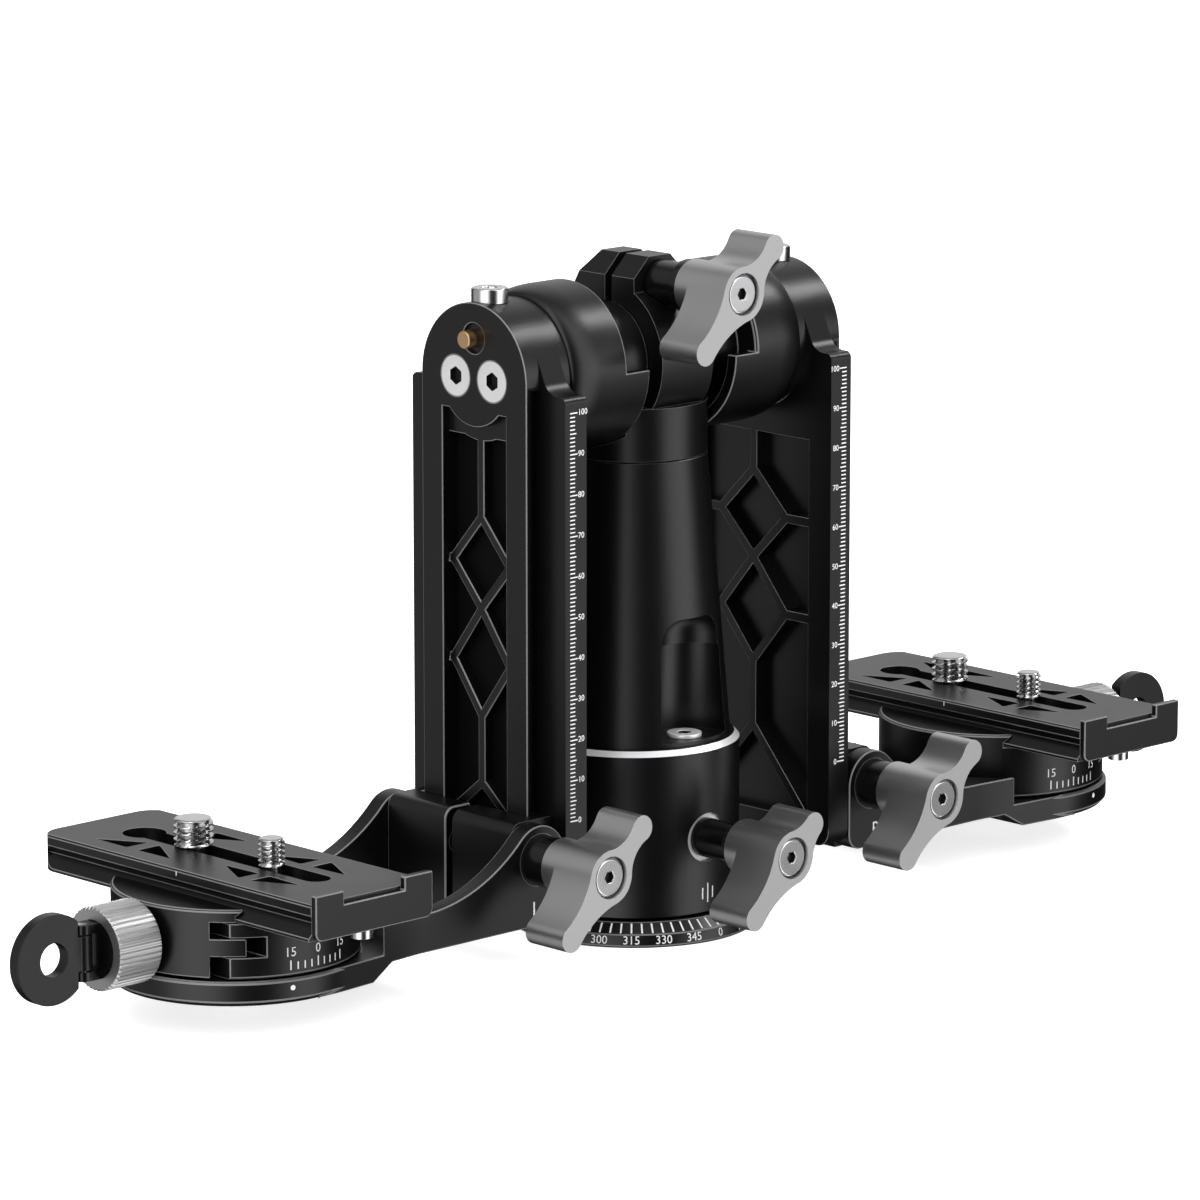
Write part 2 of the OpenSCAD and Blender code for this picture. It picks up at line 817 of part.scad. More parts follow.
module arm() {
    ledge = arm_face_x - dovetail_land;
    color(black) difference() {
        union() {
            prism_x(rail_x, arm_face_x) arm_plate_outline();
            prism_x(arm_in_x, rail_x) rail_outline();
            translate([0, 0, tilt_z]) rod_x(seam_x, arm_face_x, arm_w / 2);
        }
        // Dovetail sides of the outer plate
        for (side = [-1, 1]) translate([0, 0, arm_bottom_z - over])
            linear_extrude(height = tilt_z - arm_bottom_z)
                polygon([
                    [ledge, side * arm_w / 2], [rail_x, side * (arm_w / 2 - undercut)],
                    [rail_x, side * (arm_w / 2 + over)], [ledge, side * (arm_w / 2 + over)]
                ]);
        prism_x(arm_face_x - relief, arm_face_x + over) outer_pocket();
        prism_x(arm_face_x - cell_depth, arm_face_x + over) outer_cells();
        prism_x(arm_in_x - over, arm_in_x + inner_depth) inner_cells();
        arm_screw_places() {
            rod_x(seam_x - over, arm_face_x + over, arm_screw_r + fit);
            translate([arm_face_x - arm_screw_head_h, 0, 0]) rotate([0, 90, 0])
                cylinder(
                    h = arm_screw_head_h + fit, r1 = arm_screw_r + fit, r2 = arm_screw_head_r + 2 * fit
                );
        }
        translate([0, 0, tilt_z + stop_pin_rise]) {
            rod_x(seam_x - over, arm_face_x + over, stop_pin_r + fit);
            rod_x(arm_face_x - stop_pin_ring_h, arm_face_x + over, stop_pin_ring_r);
        }
        translate([top_screw_x, 0, tilt_z + arm_w / 2 - top_spot]) {
            rod_z(0, top_screw_head_h, top_screw_head_r + fit);
            rod_z(-top_screw_l - drill_end, over, top_screw_r + fit);
        }
    }
}

module arm_left() on_side(-1) arm();
module arm_right() on_side(1) arm();

module arm_screws() {
    color(steel) both_sides() arm_screw_places() difference() {
        union() {
            translate([arm_face_x - arm_screw_head_h, 0, 0]) rotate([0, 90, 0])
                cylinder(h = arm_screw_head_h, r1 = arm_screw_r, r2 = arm_screw_head_r);
            rod_x(arm_screw_end_x, arm_face_x - arm_screw_head_h + over / 2, arm_screw_r);
        }
        translate([arm_face_x - arm_screw_hex_h, 0, 0]) rotate([0, 90, 0])
            cylinder(h = arm_screw_hex_h + over, r = arm_screw_hex_r, $fn = 6);
    }
}

module top_screws() {
    color(steel) both_sides() translate([top_screw_x, 0, tilt_z + arm_w / 2 - top_spot]) difference() {
        union() {
            rod_z(0, top_screw_head_h, top_screw_head_r);
            rod_z(-top_screw_l, over, top_screw_r);
        }
        hex_z(top_screw_head_h - top_screw_hex_h, top_screw_head_h + over, top_screw_hex_r);
    }
}

module stop_pins() {
    color(brass) both_sides() translate([0, 0, tilt_z + stop_pin_rise])
        rod_x(stop_pin_end_x, arm_face_x + stop_pin_out, stop_pin_r);
}

// Lever knobs, drawn with the hub's back at the origin and the face at -Y

// Tapered wing with hollow sides: two circles joined by arcs that touch both
module lever_wing(reach, waist_r) {
    near = lever_hub_r + waist_r;
    far = lever_tip_r + waist_r;
    along = (near * near - far * far + reach * reach) / (2 * reach);
    across = sqrt(near * near - along * along);
    translate([reach, 0]) circle(r = lever_tip_r);
    difference() {
        polygon([[0, 0], [along, -across], [reach, 0], [along, across]]);
        for (side = [-1, 1]) translate([along, side * across]) circle(r = waist_r);
    }
}

module lever_outline(short_reach) {
    circle(r = lever_hub_r);
    rotate(lever_angle) lever_wing(short_reach, short_waist_r);
    rotate(lever_angle + 180) lever_wing(long_wing, long_waist_r);
}

module lever_knob(short_reach) {
    color(silver) difference() {
        union() {
            rod_y(-lever_l, 0, lever_hub_r);
            prism_y(-lever_l, -lever_l + lever_t) lever_outline(short_reach);
        }
        rod_y(-lever_bore, over, lever_stud_r + fit);
        rod_y(-lever_l - over, 0, lever_screw_shank_r + fit);
        rod_y(-lever_l - over, -lever_l + lever_recess, lever_screw_r + gap);
    }
}

module lever_screw() {
    head_y = -lever_l + lever_recess;
    color(steel) difference() {
        union() {
            translate([0, head_y, 0]) rotate([90, 0, 0])
                disc(0, lever_screw_h, lever_screw_r, 0, lever_screw_bevel);
            rod_y(head_y - over, head_y + lever_screw_l, lever_screw_shank_r);
        }
        translate([0, head_y - lever_hex_floor, 0]) rotate([90, 0, 0])
            cylinder(h = lever_screw_h + over, r = lever_hex_r, $fn = 6);
    }
}

// Stud in the knob's bore, turned steps behind the hub, and a thinner shank. A step is its far end
// and its radius, and starts at the hub's back.
module lever_stud(steps, end_y, r) {
    hole_end = -lever_l + lever_recess + lever_screw_l + over;
    last = steps[len(steps) - 1];
    color(black) difference() {
        union() {
            rod_y(-lever_bore + fit, 2 * fit, lever_stud_r);
            for (step = steps) rod_y(fit, step[0], step[1]);
            rod_y(last[0] - over, end_y, r);
        }
        rod_y(-lever_bore - over, hole_end, lever_screw_shank_r + fit);
    }
}

module at_tilt_knob() translate([0, tilt_hub_y, clamp_screw_z]) children();
module tilt_knob() at_tilt_knob() lever_knob(short_wing);
module tilt_knob_screw() at_tilt_knob() lever_screw();
module tilt_knob_stud() {
    steps = [[tilt_flange_t, tilt_flange_r], [tilt_knob_gap - gap, tilt_collar_r]];
    at_tilt_knob() lever_stud(steps, back_ear - tilt_hub_y, tilt_stud_r);
}

module at_pan_knob() translate([0, pan_hub_y, pan_knob_z]) children();
module pan_knob() at_pan_knob() lever_knob(pan_short_wing);
module pan_knob_screw() at_pan_knob() lever_screw();
// A short stretch of thread shows between the hub and a turned collar, which stands in the spot-face
module pan_knob_stud() {
    collar_end = pan_knob_gap + pan_spot - gap;
    color(black) at_pan_knob() difference() {
        lever_stud([[collar_end, pan_collar_r]], pan_stud_end_y - pan_hub_y, pan_stud_r);
        difference() {
            rod_y(fit, pan_thread_l, pan_collar_r + over);
            rod_y(0, pan_thread_l + over, pan_stud_r);
        }
    }
}

module at_slider_knob(side) translate([side * slider_x, slider_hub_y, slider_z]) children();

// The collar carries the fork's front ear, and the shank its back ear
module slider_stud() {
    steps = [[-slider_hub_y - block_half - gap, slider_collar_r]];
    lever_stud(steps, fork_out - slider_hub_y, slider_stud_r);
}

module slider_knob_left() at_slider_knob(-1) lever_knob(short_wing);
module slider_knob_right() at_slider_knob(1) lever_knob(short_wing);
module slider_knob_screw_left() at_slider_knob(-1) lever_screw();
module slider_knob_screw_right() at_slider_knob(1) lever_screw();
module slider_knob_stud_left() at_slider_knob(-1) slider_stud();
module slider_knob_stud_right() at_slider_knob(1) slider_stud();

// Sliders and forks

// End view of the slider's block, rounded along its upper outer edge
module block_outline() {
    in_x = rail_x + ear_gap;
    low = slider_z - block_down;
    high = slider_z + block_up;
    translate([in_x, low]) square([block_x - in_x - block_round, high - low]);
    translate([in_x, low]) square([block_x - in_x, high - low - block_round]);
    translate([block_x - block_round, high - block_round]) circle(r = block_round);
}

// What a jaw leaves free for the arm's dovetail
module arm_clearance() {
    ledge = arm_face_x - dovetail_land;
    edge = arm_w / 2 + gap;
    foot = edge - undercut;
    translate([0, 0, slider_z - block_down - over])
        linear_extrude(height = block_down + block_up + 2 * over)
            polygon([
                [rail_x - 2 * over, -foot], [rail_x, -foot], [ledge, -edge], [arm_face_x + gap, -edge],
                [arm_face_x + gap, edge], [ledge, edge], [rail_x, foot], [rail_x - 2 * over, foot]
            ]);
}

module slider_jaw(y0, y1, hole_r) {
    color(black) difference() {
        prism_y(y0, y1) block_outline();
        arm_clearance();
        translate([slider_x, 0, slider_z]) rod_y(y0 - over, y1 + over, hole_r);
    }
}

module slider_front_jaw() slider_jaw(-block_half, -jaw_gap / 2, slider_stud_r + gap);
module slider_back_jaw() slider_jaw(jaw_gap / 2, block_half, slider_stud_r + fit);
module slider_front_jaw_left() on_side(-1) slider_front_jaw();
module slider_front_jaw_right() on_side(1) slider_front_jaw();
module slider_back_jaw_left() on_side(-1) slider_back_jaw();
module slider_back_jaw_right() on_side(1) slider_back_jaw();

// Side view of a fork: round ear, flat towards the arm, S sweep to a level beam
module fork_outline() {
    ear_in = slider_x - ear_r;
    corner = 4;
    drop = slider_z - fork_beam_z;
    sweep_r = (fork_sweep * fork_sweep + drop * drop - ear_r * ear_r) / (2 * (ear_r + drop));
    sweep_x = slider_x + fork_sweep;
    sweep_z = fork_beam_z + sweep_r;
    translate([slider_x, slider_z]) circle(r = ear_r);
    translate([ear_in + corner, fork_bottom_z + corner]) circle(r = corner);
    difference() {
        polygon([
            [ear_in, slider_z], [ear_in, fork_bottom_z + corner], [ear_in + corner, fork_bottom_z],
            [platform_x, fork_bottom_z], [platform_x, fork_beam_z], [sweep_x, fork_beam_z],
            [sweep_x, sweep_z], [slider_x, slider_z]
        ]);
        translate([sweep_x, sweep_z]) circle(r = sweep_r);
    }
}

// Plan of one side arm where it widens to the platform
module fork_flare() {
    kink_x = slider_x + fork_sweep + fork_kink;
    reach = sqrt(platform_r * platform_r - fork_out * fork_out) / 2;
    join_x = platform_x - reach;
    join_y = sqrt(platform_r * platform_r - reach * reach);
    polygon([
        [kink_x, fork_in], [kink_x, fork_out], [join_x, join_y],
        [platform_x, join_y], [platform_x, fork_in]
    ]);
}

module fork_flares() {
    translate([0, 0, platform_z]) linear_extrude(height = fork_beam_z - platform_z) fork_flare();
}

module fork() {
    slope_x = platform_x - platform_r + fork_slope_inset;
    color(black) difference() {
        union() {
            prism_y(-fork_out, -fork_in) fork_outline();
            prism_y(fork_in, fork_out) fork_outline();
            translate([platform_x, 0, 0])
                disc(platform_z, platform_top, platform_r, platform_bevel, disc_bevel);
            fork_flares();
            mirror([0, 1, 0]) fork_flares();
        }
        // Slope from the level lower edge down to the platform's underside
        prism_y(-platform_r - over, platform_r + over)
            polygon([
                [0, platform_z - over], [slope_x, platform_z - over], [slope_x, platform_z],
                [slope_x - fork_slope_run, fork_bottom_z], [0, fork_bottom_z]
            ]);
        // Room for the turning clamp
        translate([platform_x, 0, 0]) rod_z(platform_top, fork_beam_z + over, clamp_r + fork_room);
        translate([platform_x, 0, 0]) {
            rod_z(platform_z - over, platform_top + over, pivot_r + fit);
            rod_z(platform_z - over, platform_z + pivot_head_h + gap, pivot_head_r + gap);
        }
        translate([slider_x, 0, slider_z]) {
            rod_y(-fork_out - over, 0, slider_collar_r + fit);
            rod_y(0, fork_out + over, slider_stud_r + fit);
        }
    }
}

module fork_left() on_side(-1) fork();
module fork_right() on_side(1) fork();

module clamp_pivot() {
    color(steel) translate([platform_x, 0, 0]) difference() {
        union() {
            rod_z(platform_z + pivot_sink, platform_z + pivot_head_h, pivot_head_r);
            rod_z(platform_z + pivot_head_h - over, clamp_z + pivot_bite, pivot_r);
        }
        hex_z(platform_z - over, platform_z + pivot_head_h, pivot_hex_r);
    }
}

module clamp_pivot_left() on_side(-1) clamp_pivot();
module clamp_pivot_right() on_side(1) clamp_pivot();

// Clamps, drawn about their own axis with the knob at +X

module at_clamp(side) on_side(side) translate([platform_x, 0, 0]) children();

// Inner side of a jaw above the bed: a land, then an overhang on the foot
module jaw_lip_outline() {
    foot = dovetail_w / 2 + gap;
    land_z = plate_z + foot_land + gap / 2;
    polygon([
        [foot, bed_z], [foot, land_z], [foot - (jaw_top - land_z), jaw_top],
        [clamp_r + over, jaw_top], [clamp_r + over, bed_z]
    ]);
}

module clamp_base() {
    slot_h = finger_h + 2 * gap;
    color(black) difference() {
        intersection() {
            disc(clamp_z, jaw_top, clamp_r, disc_bevel, disc_bevel);
            union() {
                translate([-clamp_r - over, -clamp_r, clamp_z])
                    cube([clamp_r + over + jaw_wall_x, 2 * clamp_r, bed_h]);
                prism_y(-clamp_r, clamp_r) mirror([1, 0]) jaw_lip_outline();
            }
        }
        // Slots for the moving jaw's fingers
        for (side = [0, 1]) mirror([0, side, 0])
            translate([jaw_wall_x - finger_l - gap, finger_half_y - gap, knob_z - slot_h / 2])
                cube([finger_l + gap + over, clamp_r - finger_half_y + gap + over, slot_h]);
        rod_z(clamp_z - over, clamp_z + pivot_bite + drill_end, pivot_r + fit);
        translate([0, 0, knob_z]) rod_x(clamp_stud_x - drill_end, jaw_wall_x + over, clamp_stud_r + fit);
    }
}

module clamp_base_left() at_clamp(-1) clamp_base();
module clamp_base_right() at_clamp(1) clamp_base();

module clamp_jaw() {
    wall = jaw_wall_x + gap;
    color(black) difference() {
        intersection() {
            disc(clamp_z, jaw_top, clamp_r, disc_bevel, disc_bevel);
            union() {
                translate([wall, -clamp_r, clamp_z + gap])
                    cube([clamp_r - wall + over, 2 * clamp_r, bed_h + jaw_h]);
                prism_y(-clamp_r, clamp_r) translate([0, gap]) intersection() {
                    jaw_lip_outline();
                    translate([0, bed_z - over]) square([clamp_r + over, jaw_h + over - gap]);
                }
                for (side = [0, 1]) mirror([0, side, 0])
                    translate([wall - finger_l, finger_half_y, knob_z - finger_h / 2])
                        cube([finger_l + over, clamp_r - finger_half_y + over, finger_h]);
            }
        }
        translate([0, 0, knob_z]) rod_x(wall - over, clamp_r + over, clamp_stud_r + fit);
    }
}

module clamp_jaw_left() at_clamp(-1) clamp_jaw();
module clamp_jaw_right() at_clamp(1) clamp_jaw();

module clamp_knob() {
    grooves = 24;
    groove_w = 0.7;
    groove_start = 2;
    color(silver) translate([0, 0, knob_z]) difference() {
        rod_x(knob_in_x, knob_out_x, clamp_knob_r);
        rod_x(knob_in_x - over, knob_out_x + over, clamp_hub_r + fit);
        for (i = [0 : grooves - 1]) rotate([i * 360 / grooves, 0, 0])
            translate([knob_in_x + groove_start, 0, clamp_knob_r]) rotate([45, 0, 0])
                translate([0, -groove_w / 2, -groove_w / 2]) cube([clamp_knob_l, groove_w, groove_w]);
    }
}

module clamp_knob_left() at_clamp(-1) clamp_knob();
module clamp_knob_right() at_clamp(1) clamp_knob();

// Clamp screw with the core of the knob and the two lugs of the paddle's hinge
module clamp_stud() {
    color(black) translate([0, 0, knob_z]) difference() {
        union() {
            rod_x(clamp_stud_x, knob_in_x + over, clamp_stud_r);
            rod_x(knob_in_x, knob_out_x, clamp_hub_r);
            for (side = [0, 1]) mirror([0, 0, side]) translate([0, 0, hinge_half + gap]) {
                translate([hinge_x, 0, 0]) cylinder(h = hinge_lug, r = hinge_r);
                translate([knob_out_x - over, -hinge_r, 0])
                    cube([hinge_x - knob_out_x + over, 2 * hinge_r, hinge_lug]);
            }
        }
        translate([hinge_x, 0, 0]) rod_z(-clamp_knob_r, clamp_knob_r, hinge_pin_r + fit);
    }
}

module clamp_stud_left() at_clamp(-1) clamp_stud();
module clamp_stud_right() at_clamp(1) clamp_stud();

module paddle() {
    notch = hinge_x + hinge_r + gap;
    color(black) translate([0, 0, knob_z]) difference() {
        union() {
            translate([hinge_x, 0, 0]) rod_z(-hinge_half, hinge_half, hinge_r);
            translate([hinge_x, -paddle_t / 2, -hinge_half]) cube([paddle_r, paddle_t, 2 * hinge_half]);
            difference() {
                translate([paddle_x, 0, 0]) rod_y(-paddle_t / 2, paddle_t / 2, paddle_r);
                for (side = [0, 1]) mirror([0, 0, side])
                    translate([0, -paddle_t, hinge_half]) cube([notch, 2 * paddle_t, paddle_r]);
                translate([0, -paddle_t, -paddle_r]) cube([hinge_x, 2 * paddle_t, 2 * paddle_r]);
            }
        }
        translate([paddle_x, 0, 0]) rod_y(-paddle_t, paddle_t, paddle_hole_r);
        translate([hinge_x, 0, 0]) rod_z(-clamp_knob_r, clamp_knob_r, hinge_pin_r + fit);
    }
}

module paddle_left() at_clamp(-1) paddle();
module paddle_right() at_clamp(1) paddle();

module paddle_pin() {
    half = hinge_half + gap + hinge_lug;
    color(steel) translate([hinge_x, 0, knob_z]) rod_z(-half, half, hinge_pin_r);
}

module paddle_pin_left() at_clamp(-1) paddle_pin();
module paddle_pin_right() at_clamp(1) paddle_pin();

// Plates and camera screws

// Cross-section: dovetail foot, groove, and a wider top
module plate_section() {
    foot = dovetail_w / 2;
    top = plate_w / 2;
    groove = foot - groove_in;
    half = [
        [foot, plate_z], [foot, plate_z + foot_land], [groove, plate_z + foot_land + groove_in],
        [top, plate_z + foot_land + groove_in + top - groove], [top, plate_top - plate_edge],
        [top - plate_edge, plate_top]
    ];
    polygon(concat(half, [for (i = [len(half) - 1 : -1 : 0]) [-half[i][0], half[i][1]]]));
}

// Triangular lightening holes in two rows beside the slot, pointing away from each other
module plate_triangles() {
    for (centre = triangle_rows) translate([0, centre])
        for (across = [0, 1]) mirror([across, 0]) for (along = [0, 1]) mirror([0, along])
            polygon([
                [triangle_out, triangle_near], [triangle_in, triangle_near], [triangle_out, triangle_far]
            ]);
}

module plate() {
    body_l = plate_front + plate_back - plate_corner;
    corner_x = dovetail_w / 2 - plate_corner;
    color(black) difference() {
        union() {
            intersection() {
                prism_y(-plate_front, plate_back) plate_section();
                union() {
                    translate([-dovetail_w, -plate_front, plate_z])
                        cube([2 * dovetail_w, body_l, plate_t]);
                    translate([-corner_x, 0, plate_z]) cube([2 * corner_x, plate_back, plate_t]);
                    for (side = [-1, 1]) translate([side * corner_x, plate_back - plate_corner, 0])
                        rod_z(plate_z, plate_top, plate_corner);
                }
            }
            // End lip with two horns
            translate([-plate_w / 2, -plate_front, plate_z]) cube([plate_w, lip_w, plate_t]);
            for (side = [0, 1]) mirror([side, 0, 0])
                translate([plate_w / 2 - horn_w, -plate_front, plate_top - over])
                    cube([horn_w, lip_w, horn_h + over]);
        }
        // Slot for the camera screws, its keyhole, and the channel for their heads
        translate([-slot_half, slot_front_y, plate_z])
            cube([2 * slot_half, keyhole_y - slot_front_y, plate_t + over]);
        translate([0, slot_front_y, 0]) rod_z(plate_z, plate_top + over, slot_half);
        translate([0, keyhole_y, 0]) rod_z(plate_z, plate_top + over, keyhole_r);
        translate([-channel_half, -plate_front + channel_margin, plate_z - over])
            cube([2 * channel_half, plate_front + plate_back - 2 * channel_margin, channel_h + over]);
        translate([0, 0, plate_z - over]) linear_extrude(height = plate_t + 2 * over) plate_triangles();
        stop_screw_places()
            rod_z(plate_z - over, plate_z + stop_screw_bite + drill_end, stop_shank_r + fit);
    }
}

module plate_left() at_clamp(-1) plate();
module plate_right() at_clamp(1) plate();

module stop_screw_places() {
    for (y = [-plate_front + stop_screw_inset, plate_back - stop_screw_inset])
        translate([0, y, 0]) children();
}

module plate_stop_screws() {
    color(steel) stop_screw_places() difference() {
        union() {
            rod_z(plate_z - stop_screw_drop, plate_z, stop_screw_r);
            rod_z(plate_z - over, plate_z + stop_screw_bite, stop_shank_r);
        }
        translate([0, 0, plate_z - stop_screw_drop]) hex_z(-over, stop_screw_hex_h, stop_screw_hex_r);
    }
}

module plate_stop_screws_left() at_clamp(-1) plate_stop_screws();
module plate_stop_screws_right() at_clamp(1) plate_stop_screws();

// Head in the plate's channel, neck in the slot, thread above the plate
module camera_screw(thread_r) {
    neck = min(slot_half - gap, thread_r - thread_depth);
    head_top = plate_z + channel_h - gap;
    driver_w = 1.8;
    driver_h = 1.4;
    color(steel) difference() {
        union() {
            rod_z(head_top - screw_head_h, head_top, channel_half - gap);
            rod_z(head_top - over, plate_top + 2 * gap, neck);
            translate([0, 0, plate_top + gap]) disc(0, screw_up - gap, thread_r, 0, thread_end);
        }
        translate([-channel_half, -driver_w / 2, head_top - screw_head_h - over])
            cube([2 * channel_half, driver_w, driver_h + over]);
    }
}

module screw_large_left() at_clamp(-1) translate([0, big_screw_y, 0]) camera_screw(big_screw_r);
module screw_large_right() at_clamp(1) translate([0, big_screw_y, 0]) camera_screw(big_screw_r);
module screw_small_left() at_clamp(-1) translate([0, small_screw_y, 0]) camera_screw(small_screw_r);
module screw_small_right() at_clamp(1) translate([0, small_screw_y, 0]) camera_screw(small_screw_r);

base_plate();
base_screws();
pan_spindle();
spindle_cap();
pan_bush();
pan_brake_shoe();
pan_housing();
column();
column_screws();
neck_bolt();
clamp_head();
tilt_bush();
tilt_shaft();
hub_left();
hub_right();
arm_left();
arm_right();
arm_screws();
top_screws();
stop_pins();
tilt_knob();
tilt_knob_stud();
tilt_knob_screw();
pan_knob();
pan_knob_stud();
pan_knob_screw();
slider_front_jaw_left();
slider_back_jaw_left();
slider_knob_left();
slider_knob_stud_left();
slider_knob_screw_left();
fork_left();
clamp_pivot_left();
clamp_base_left();
clamp_jaw_left();
clamp_knob_left();
clamp_stud_left();
paddle_left();
paddle_pin_left();
plate_left();
plate_stop_screws_left();
screw_large_left();
screw_small_left();
slider_front_jaw_right();
slider_back_jaw_right();
slider_knob_right();
slider_knob_stud_right();
slider_knob_screw_right();
fork_right();
clamp_pivot_right();
clamp_base_right();
clamp_jaw_right();
clamp_knob_right();
clamp_stud_right();
paddle_right();
paddle_pin_right();
plate_right();
plate_stop_screws_right();
screw_large_right();
screw_small_right();
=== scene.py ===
# Twin-arm gimbal head for two cameras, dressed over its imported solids.
import json
import math

import bpy
from mathutils import Matrix, Vector


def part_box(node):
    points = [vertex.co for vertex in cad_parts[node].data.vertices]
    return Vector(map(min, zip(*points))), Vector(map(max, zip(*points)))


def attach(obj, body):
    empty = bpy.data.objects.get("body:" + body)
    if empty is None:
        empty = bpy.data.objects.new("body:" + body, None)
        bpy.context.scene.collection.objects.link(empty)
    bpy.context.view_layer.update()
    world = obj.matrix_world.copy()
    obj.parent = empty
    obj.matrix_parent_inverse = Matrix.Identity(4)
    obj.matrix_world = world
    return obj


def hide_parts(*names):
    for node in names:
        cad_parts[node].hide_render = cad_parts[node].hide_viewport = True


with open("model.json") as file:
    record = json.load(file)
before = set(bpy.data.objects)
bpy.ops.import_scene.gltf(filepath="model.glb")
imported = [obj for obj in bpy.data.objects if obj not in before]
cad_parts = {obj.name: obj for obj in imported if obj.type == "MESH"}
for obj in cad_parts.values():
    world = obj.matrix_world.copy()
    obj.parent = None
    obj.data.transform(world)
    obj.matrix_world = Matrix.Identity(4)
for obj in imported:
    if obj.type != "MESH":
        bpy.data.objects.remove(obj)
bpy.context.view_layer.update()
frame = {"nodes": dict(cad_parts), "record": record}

# Studio. The head stands on white paper. The camera sees only white behind it, while the metal
# mirrors a dim room with a pale wall on the left, another on the right and a lamp high beside that.
FOCAL_PX = 6656
IMAGE_PX = 1200
SENSOR_MM = 36
CAMERA_PLACE = (-1.1257, -1.1570, 0.4165)
CAMERA_TURN = (78.26, 0, -43.92)
ROOM_LEVEL = 0.03
LAMP_AIM = (0, 0, 0.08)
FLOOR_R = 9
PAPER_GLOW = 0.75

camera_data = bpy.data.cameras.new("photo_camera")
camera_data.sensor_width = SENSOR_MM
camera_data.lens = SENSOR_MM * FOCAL_PX / IMAGE_PX
camera_data.clip_end = 50
camera = bpy.data.objects.new("photo_camera", camera_data)
camera.location = CAMERA_PLACE
camera.rotation_euler = [math.radians(a) for a in CAMERA_TURN]
bpy.context.scene.collection.objects.link(camera)
bpy.context.scene.camera = camera
bpy.context.scene.view_settings.view_transform = "Standard"


def link(tree, *pairs):
    """Joins sockets of a node tree, each pair from an output to an input."""
    for out, into in pairs:
        tree.links.new(out, into)


def compass(degrees, rise=0):
    """A direction by its angle from +X towards +Y and its rise above the floor."""
    turn, lift = math.radians(degrees), math.radians(rise)
    return (math.cos(turn) * math.cos(lift), math.sin(turn) * math.cos(lift), math.sin(lift))


def studio_world():
    """White where the camera looks, and a dim room with soft bright patches for everything else."""
    world = bpy.data.worlds.new("studio")
    bpy.context.scene.world = world
    world.use_nodes = True
    tree = world.node_tree
    tree.nodes.clear()
    where = tree.nodes.new("ShaderNodeTexCoord").outputs["Generated"]
    level = tree.nodes.new("ShaderNodeVectorMath")
    level.operation = "MULTIPLY"
    level.inputs[1].default_value = (1, 1, 0)
    around = tree.nodes.new("ShaderNodeVectorMath")
    around.operation = "NORMALIZE"
    link(tree, (where, level.inputs[0]), (level.outputs["Vector"], around.inputs[0]))

    def patch(toward, direction, edge, core, strength):
        """A soft patch, full within the core angle of a direction and gone past its edge angle."""
        dot = tree.nodes.new("ShaderNodeVectorMath")
        dot.operation = "DOT_PRODUCT"
        dot.inputs[1].default_value = direction
        fall = tree.nodes.new("ShaderNodeMapRange")
        fall.interpolation_type = "SMOOTHSTEP"
        fall.inputs["From Min"].default_value = math.cos(math.radians(edge))
        fall.inputs["From Max"].default_value = math.cos(math.radians(core))
        fall.inputs["To Max"].default_value = strength
        link(tree, (toward, dot.inputs[0]), (dot.outputs["Value"], fall.inputs["Value"]))
        return fall.outputs["Result"]

    def combine(operation, first, second):
        """One number from two sockets, or from a socket and a plain value."""
        sum_node = tree.nodes.new("ShaderNodeMath")
        sum_node.operation = operation
        link(tree, (first, sum_node.inputs[0]))
        if isinstance(second, float):
            sum_node.inputs[1].default_value = second
        else:
            link(tree, (second, sum_node.inputs[1]))
        return sum_node.outputs["Value"]

    side = around.outputs["Vector"]
    left_wall = patch(side, compass(194), edge=37, core=4, strength=2.3)
    right_wall = patch(side, compass(292), edge=26, core=2, strength=2.2)
    far_wall = patch(side, compass(134), edge=40, core=5, strength=0.5)
    right_panel = patch(where, compass(312, 2), edge=15, core=2, strength=1.7)
    high_panel = patch(where, compass(46, 22), edge=46, core=8, strength=0.9)
    ceiling = patch(where, (0, 0, 1), edge=60, core=20, strength=0.3)
    room = left_wall
    for light in (right_wall, far_wall, right_panel, high_panel, ceiling, ROOM_LEVEL):
        room = combine("ADD", room, light)
    path = tree.nodes.new("ShaderNodeLightPath")
    seen = combine("MAXIMUM", path.outputs["Is Camera Ray"], path.outputs["Is Transmission Ray"])
    strength = tree.nodes.new("ShaderNodeMix")
    strength.inputs["B"].default_value = 1.0
    back = tree.nodes.new("ShaderNodeBackground")
    out = tree.nodes.new("ShaderNodeOutputWorld")
    link(tree,
         (seen, strength.inputs["Factor"]),
         (room, strength.inputs["A"]),
         (strength.outputs["Result"], back.inputs["Strength"]),
         (back.outputs["Background"], out.inputs["Surface"]))


def soft_box(name, place, size, watts, on_metal):
    """A square lamp that faces the middle of the head, and shows in the metal or only lights the rest."""
    data = bpy.data.lights.new(name, "AREA")
    data.size = size
    data.energy = watts
    lamp = bpy.data.objects.new(name, data)
    lamp.location = place
    lamp.visible_glossy = on_metal
    aim = Vector(LAMP_AIM) - Vector(place)
    lamp.rotation_euler = aim.to_track_quat("-Z", "Y").to_euler()
    bpy.context.scene.collection.objects.link(lamp)


studio_world()
soft_box("high_right_box", (1.10, -0.38, 1.20), size=0.4, watts=6, on_metal=True)
soft_box("front_fill", (-0.9, -1.6, 1.4), size=1.4, watts=26, on_metal=False)
soft_box("top_fill", (0.0, 0.2, 1.9), size=1.6, watts=22, on_metal=False)


